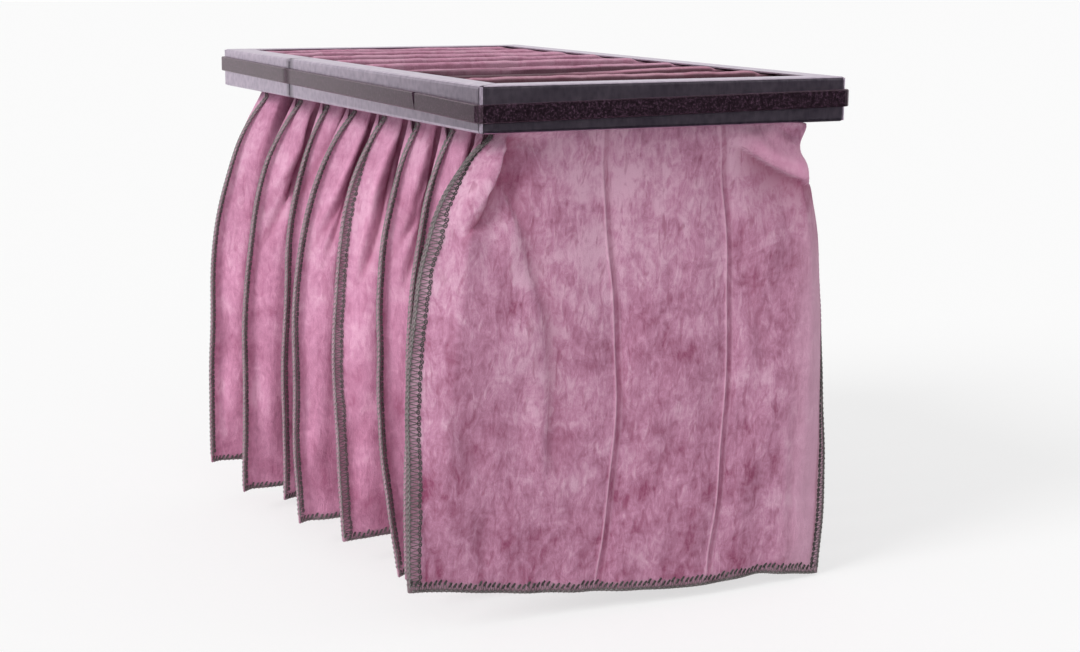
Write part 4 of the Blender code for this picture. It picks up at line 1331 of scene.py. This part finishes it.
class FilterColours(bpy.types.PropertyGroup):
    """Colours of the filter's materials."""

    steel: colour_setting("Steel", "Bright zinc", (0.62, 0.525, 0.63))
    steel_dull: colour_setting("Dull steel", "Dull zinc", (0.43, 0.36, 0.46))
    bar: colour_setting("Clip bars", "Zinc of the clip bars", (0.40, 0.39, 0.41))
    foam: colour_setting("Foam", "Black foam", (0.006, 0.002, 0.005))
    foam_dust: colour_setting("Foam dust", "Pale specks on the foam", (0.105, 0.055, 0.092))
    # The fleece's own darkest tone, also used for the painted shadow beside the spacer seams.
    media_deep_and_shadow: colour_setting("Deep rose", "Darkest fibres of the media", (0.250, 0.062, 0.125))
    media_mid: colour_setting("Rose", "Middle tone of the media", (0.355, 0.145, 0.232))
    media_pale: colour_setting("Lilac", "Pale patches of the media", (0.470, 0.222, 0.335))
    # Painted highlight on cloth that stands out over a fold.
    media_fold_highlight: colour_setting("Bright pink", "Media stretched over a fold", (0.760, 0.360, 0.530))
    # Painted shade in the folds, creases and pleats, and in a line beside the front pocket's right seam.
    media_fold_shade: colour_setting("Fold", "Rose in the folds of the media", (0.235, 0.040, 0.095))
    # The fleece's own palest tone, also used for the painted highlight on the spacer seams.
    media_bloom_and_highlight: colour_setting("Bloom", "Palest patches of the media", (0.590, 0.345, 0.460))
    media_rolled: colour_setting("Rolled edge", "Fleece where it is rolled over the bars", (0.46, 0.22, 0.25))
    # Painted shade down inside the mouths.
    media_shadow: colour_setting("Mouth", "Brown fleece down inside a mouth", (0.045, 0.016, 0.022))
    sewn_grey: colour_setting("Sewn edge", "Fleece pressed under the overlock", (0.42, 0.29, 0.34))
    edge_thread: colour_setting("Edge thread", "Dense thread round the sewn edge", (0.125, 0.118, 0.112))
    thread_dark: colour_setting("Dark thread", "Chain and purls of the overlock", (0.052, 0.047, 0.045))
    thread_pale: colour_setting("Pale thread", "Legs of the overlock", (0.325, 0.310, 0.300))
    floor: colour_setting("Floor", "Floor and backdrop", (0.93, 0.93, 0.93))


# Operators


class FILTER_OT_stage(bpy.types.Operator):
    """Set the camera, the soft light, the pale floor and a dark card that only reflections see"""

    bl_idname = "filter.stage"
    bl_label = "Stage"

    def execute(self, context):
        scene = context.scene
        lens = bpy.data.cameras.new("camera")
        lens.sensor_width = 36.0
        lens.lens = CAMERA_LENS
        lens.clip_end = 50.0
        camera = bpy.data.objects.new("camera", lens)
        camera.location = CAMERA_PLACE
        camera.rotation_euler = [math.radians(angle) for angle in CAMERA_TURN]
        scene.collection.objects.link(camera)
        scene.camera = camera
        scene.view_settings.view_transform = "Standard"
        for name, turn, strength, angle in (
            ("key_sun", (60.0, 0.0, -75.0), 2.15, 24.0),
            ("fill_sun", (66.0, 0.0, -8.0), 0.42, 50.0),
        ):
            sun = bpy.data.lights.new(name, "SUN")
            sun.energy = strength
            sun.angle = math.radians(angle)
            lamp = bpy.data.objects.new(name, sun)
            lamp.rotation_euler = [math.radians(part) for part in turn]
            scene.collection.objects.link(lamp)
        self.light_world(scene)
        self.lay_floor(scene)
        self.hang_card(scene)
        return {"FINISHED"}

    def light_world(self, scene):
        """A white room for the camera and for reflections, and a softer one for matt surfaces."""
        world = bpy.data.worlds.new("pale_room")
        world.use_nodes = True
        room = Nodes(world.node_tree)
        levels = {"Value": room.seen(), "To Min": 0.56, "To Max": 1.0}
        sky = room.tree.nodes["Background"]
        room.feed(sky.inputs["Color"], (1.0, 1.0, 1.0))
        room.feed(sky.inputs["Strength"], room.node("ShaderNodeMapRange", inputs=levels))
        scene.world = world

    def lay_floor(self, scene):
        """A large pale floor that the camera sees nearly white, with the filter's shadow on it."""
        paint = Paint("pale_floor")
        paint.finish(
            Base_Color=tuple(scene.filter_colours.floor), Roughness=0.9, Specular_IOR_Level=0.0
        )
        matt = Signal(paint, paint.shader.outputs[0])
        glow = paint.node("ShaderNodeEmission", inputs={"Color": (1.0, 1.0, 1.0)})
        blend = paint.node("ShaderNodeMixShader", inputs={0: paint.seen() * 0.65, 1: matt, 2: glow})
        paint.feed(paint.tree.nodes["Material Output"].inputs["Surface"], blend)
        level = CAD_BOX[0][2] - scene.filter_sizes.floor_drop
        sides = ((-1, -1), (1, -1), (1, 1), (-1, 1))
        corners = [(x * FLOOR_REACH, y * FLOOR_REACH, level) for x, y in sides]
        floor = add_object("floor", corners, [[0, 1, 2, 3]], paint.material)

    def hang_card(self, scene):
        """Cards that only reflections see, each an arc of a profile (radius, height) about the Z axis.

        A dark dome, its lid and a mat are for the front rail and its bends, a dark side card for the
        left rail next to the near corner, and a tall lit strip for the bend of that corner.
        """
        level = CAD_BOX[0][2] + 0.01
        dark = Paint("dark_card")
        dark.finish(Base_Color=(0.02, 0.018, 0.024), Roughness=1.0, Specular_IOR_Level=0.0)
        lit = Paint("lit_strip")
        lit.finish(
            Base_Color=(0.0, 0.0, 0.0), Emission_Color=(1.0, 1.0, 1.0, 1.0), Emission_Strength=8.0
        )
        lid = ((2.6, 1.6), (2.1, 2.8), (1.0, 3.8), (0.2, 4.1))
        for name, finish, profile, start, end in (
            ("dark_dome", dark, ((0.55, level), (2.4, level), (2.6, level + 0.3)) + lid, -142.0, -24.0),
            ("dark_lid", dark, lid[1:], -24.0, 50.0),
            ("dark_mat", dark, ((0.0, level), (0.7, level)), -142.0, 50.0),
            ("dark_side", dark, ((0.75, level), (0.75, 0.9)), 122.0, 196.0),
            ("lit_strip", lit, ((1.6, -0.14), (1.6, 0.45)), 202.0, 210.0),
        ):
            radius, height = np.array(profile).T[:, None]
            angle = np.radians(np.linspace(start, end, CARD_COLUMNS))[:, None]
            x = np.cos(angle) * radius
            grid = np.stack((x, np.sin(angle) * radius, height + 0.0 * x), axis=-1)
            rows, columns = grid.shape[:2]
            index = np.arange(rows * columns).reshape(rows, columns)
            corners = (index[:-1, :-1], index[:-1, 1:], index[1:, 1:], index[1:, :-1])
            quads = np.stack(corners, axis=-1)
            card = add_object(name, grid, quads.reshape(-1, 4).tolist(), finish.material)
            card.visible_camera = False
            card.visible_diffuse = False
            card.visible_shadow = False
            card.visible_transmission = False


class FILTER_OT_header(bpy.types.Operator):
    """Give the folded header and the clip bars their galvanised finish"""

    bl_idname = "filter.header"
    bl_label = "Header and bars"

    def execute(self, context):
        colours = context.scene.filter_colours
        steel = steel_finish("galvanised_sheet", tuple(colours.steel), tuple(colours.steel_dull), 0.34)
        bar = steel_finish("bar_sheet", tuple(colours.bar), tuple(colours.steel_dull), 0.42)
        dress("header_frame", steel)
        for number in range(1, POCKET_COUNT + 2):
            dress(f"clip_bar_{number}", bar)
        return {"FINISHED"}


class FILTER_OT_gasket(bpy.types.Operator):
    """Give the foam strip its cellular finish"""

    bl_idname = "filter.gasket"
    bl_label = "Foam strip"

    def execute(self, context):
        dress("gasket_strip", foam_finish(context.scene.filter_colours))
        return {"FINISHED"}


class FILTER_OT_pockets(bpy.types.Operator):
    """Make the media pockets and their overlock thread"""

    bl_idname = "filter.pockets"
    bl_label = "Pockets"

    def execute(self, context):
        colours = context.scene.filter_colours
        sizes = context.scene.filter_sizes
        fleece = media_finish(colours)
        thread = thread_finish(colours)
        for index in range(POCKET_COUNT):
            form = PocketForm(index)
            panels = form.panels()
            pocket = make_pocket(form, panels, sizes.media, fleece)
            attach(pocket, "root")
            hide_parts(f"pocket_{index + 1}")
            stitching = make_stitching(form, panels, sizes.thread, thread)
            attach(stitching, "root")
            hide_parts(f"edge_stitching_{index + 1}")
        return {"FINISHED"}


class FILTER_OT_spacers(bpy.types.Operator):
    """Make the spacer strips that hold a pocket's two panels together"""

    bl_idname = "filter.spacers"
    bl_label = "Spacer strips"

    def execute(self, context):
        fleece = spacer_finish(context.scene.filter_colours)
        media = context.scene.filter_sizes.media
        for index in range(POCKET_COUNT):
            form = PocketForm(index)
            form.panels()
            for seam, side in ((2.0, "left"), (3.0, "right")):
                name = f"strip_{side}_{index + 1}"
                strip, width, area = make_spacer(form, seam, media, fleece, name)
                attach(strip, "root")
                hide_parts(f"spacer_{side}_{index + 1}")
        return {"FINISHED"}


def dress(node, finish):
    """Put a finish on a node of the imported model."""
    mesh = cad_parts[node].data
    mesh.materials.clear()
    mesh.materials.append(finish)


class FILTER_PT_panel(bpy.types.Panel):
    """Buttons and settings of the filter"""

    bl_idname = "FILTER_PT_panel"
    bl_label = "Pocket air filter"
    bl_space_type = "VIEW_3D"
    bl_region_type = "UI"
    bl_category = "Air filter"

    def draw(self, context):
        layout = self.layout
        for group in (context.scene.filter_sizes, context.scene.filter_colours):
            for name in group.__annotations__:
                layout.prop(group, name)
        for operator in OPERATORS:
            layout.operator(operator.bl_idname)


OPERATORS = (FILTER_OT_stage, FILTER_OT_header, FILTER_OT_gasket, FILTER_OT_pockets, FILTER_OT_spacers)
CLASSES = (FilterSizes, FilterColours, *OPERATORS, FILTER_PT_panel)


def register():
    """Register the classes and hang the settings on the scene."""
    for kind in CLASSES:
        bpy.utils.register_class(kind)
    bpy.types.Scene.filter_sizes = PointerProperty(type=FilterSizes)
    bpy.types.Scene.filter_colours = PointerProperty(type=FilterColours)


def unregister():
    """Take the settings and the classes away again."""
    del bpy.types.Scene.filter_colours
    del bpy.types.Scene.filter_sizes
    for kind in reversed(CLASSES):
        bpy.utils.unregister_class(kind)


def main():
    register()
    bpy.ops.filter.stage()
    bpy.ops.filter.header()
    bpy.ops.filter.gasket()
    bpy.ops.filter.pockets()
    bpy.ops.filter.spacers()


if __name__ == "__main__":
    main()
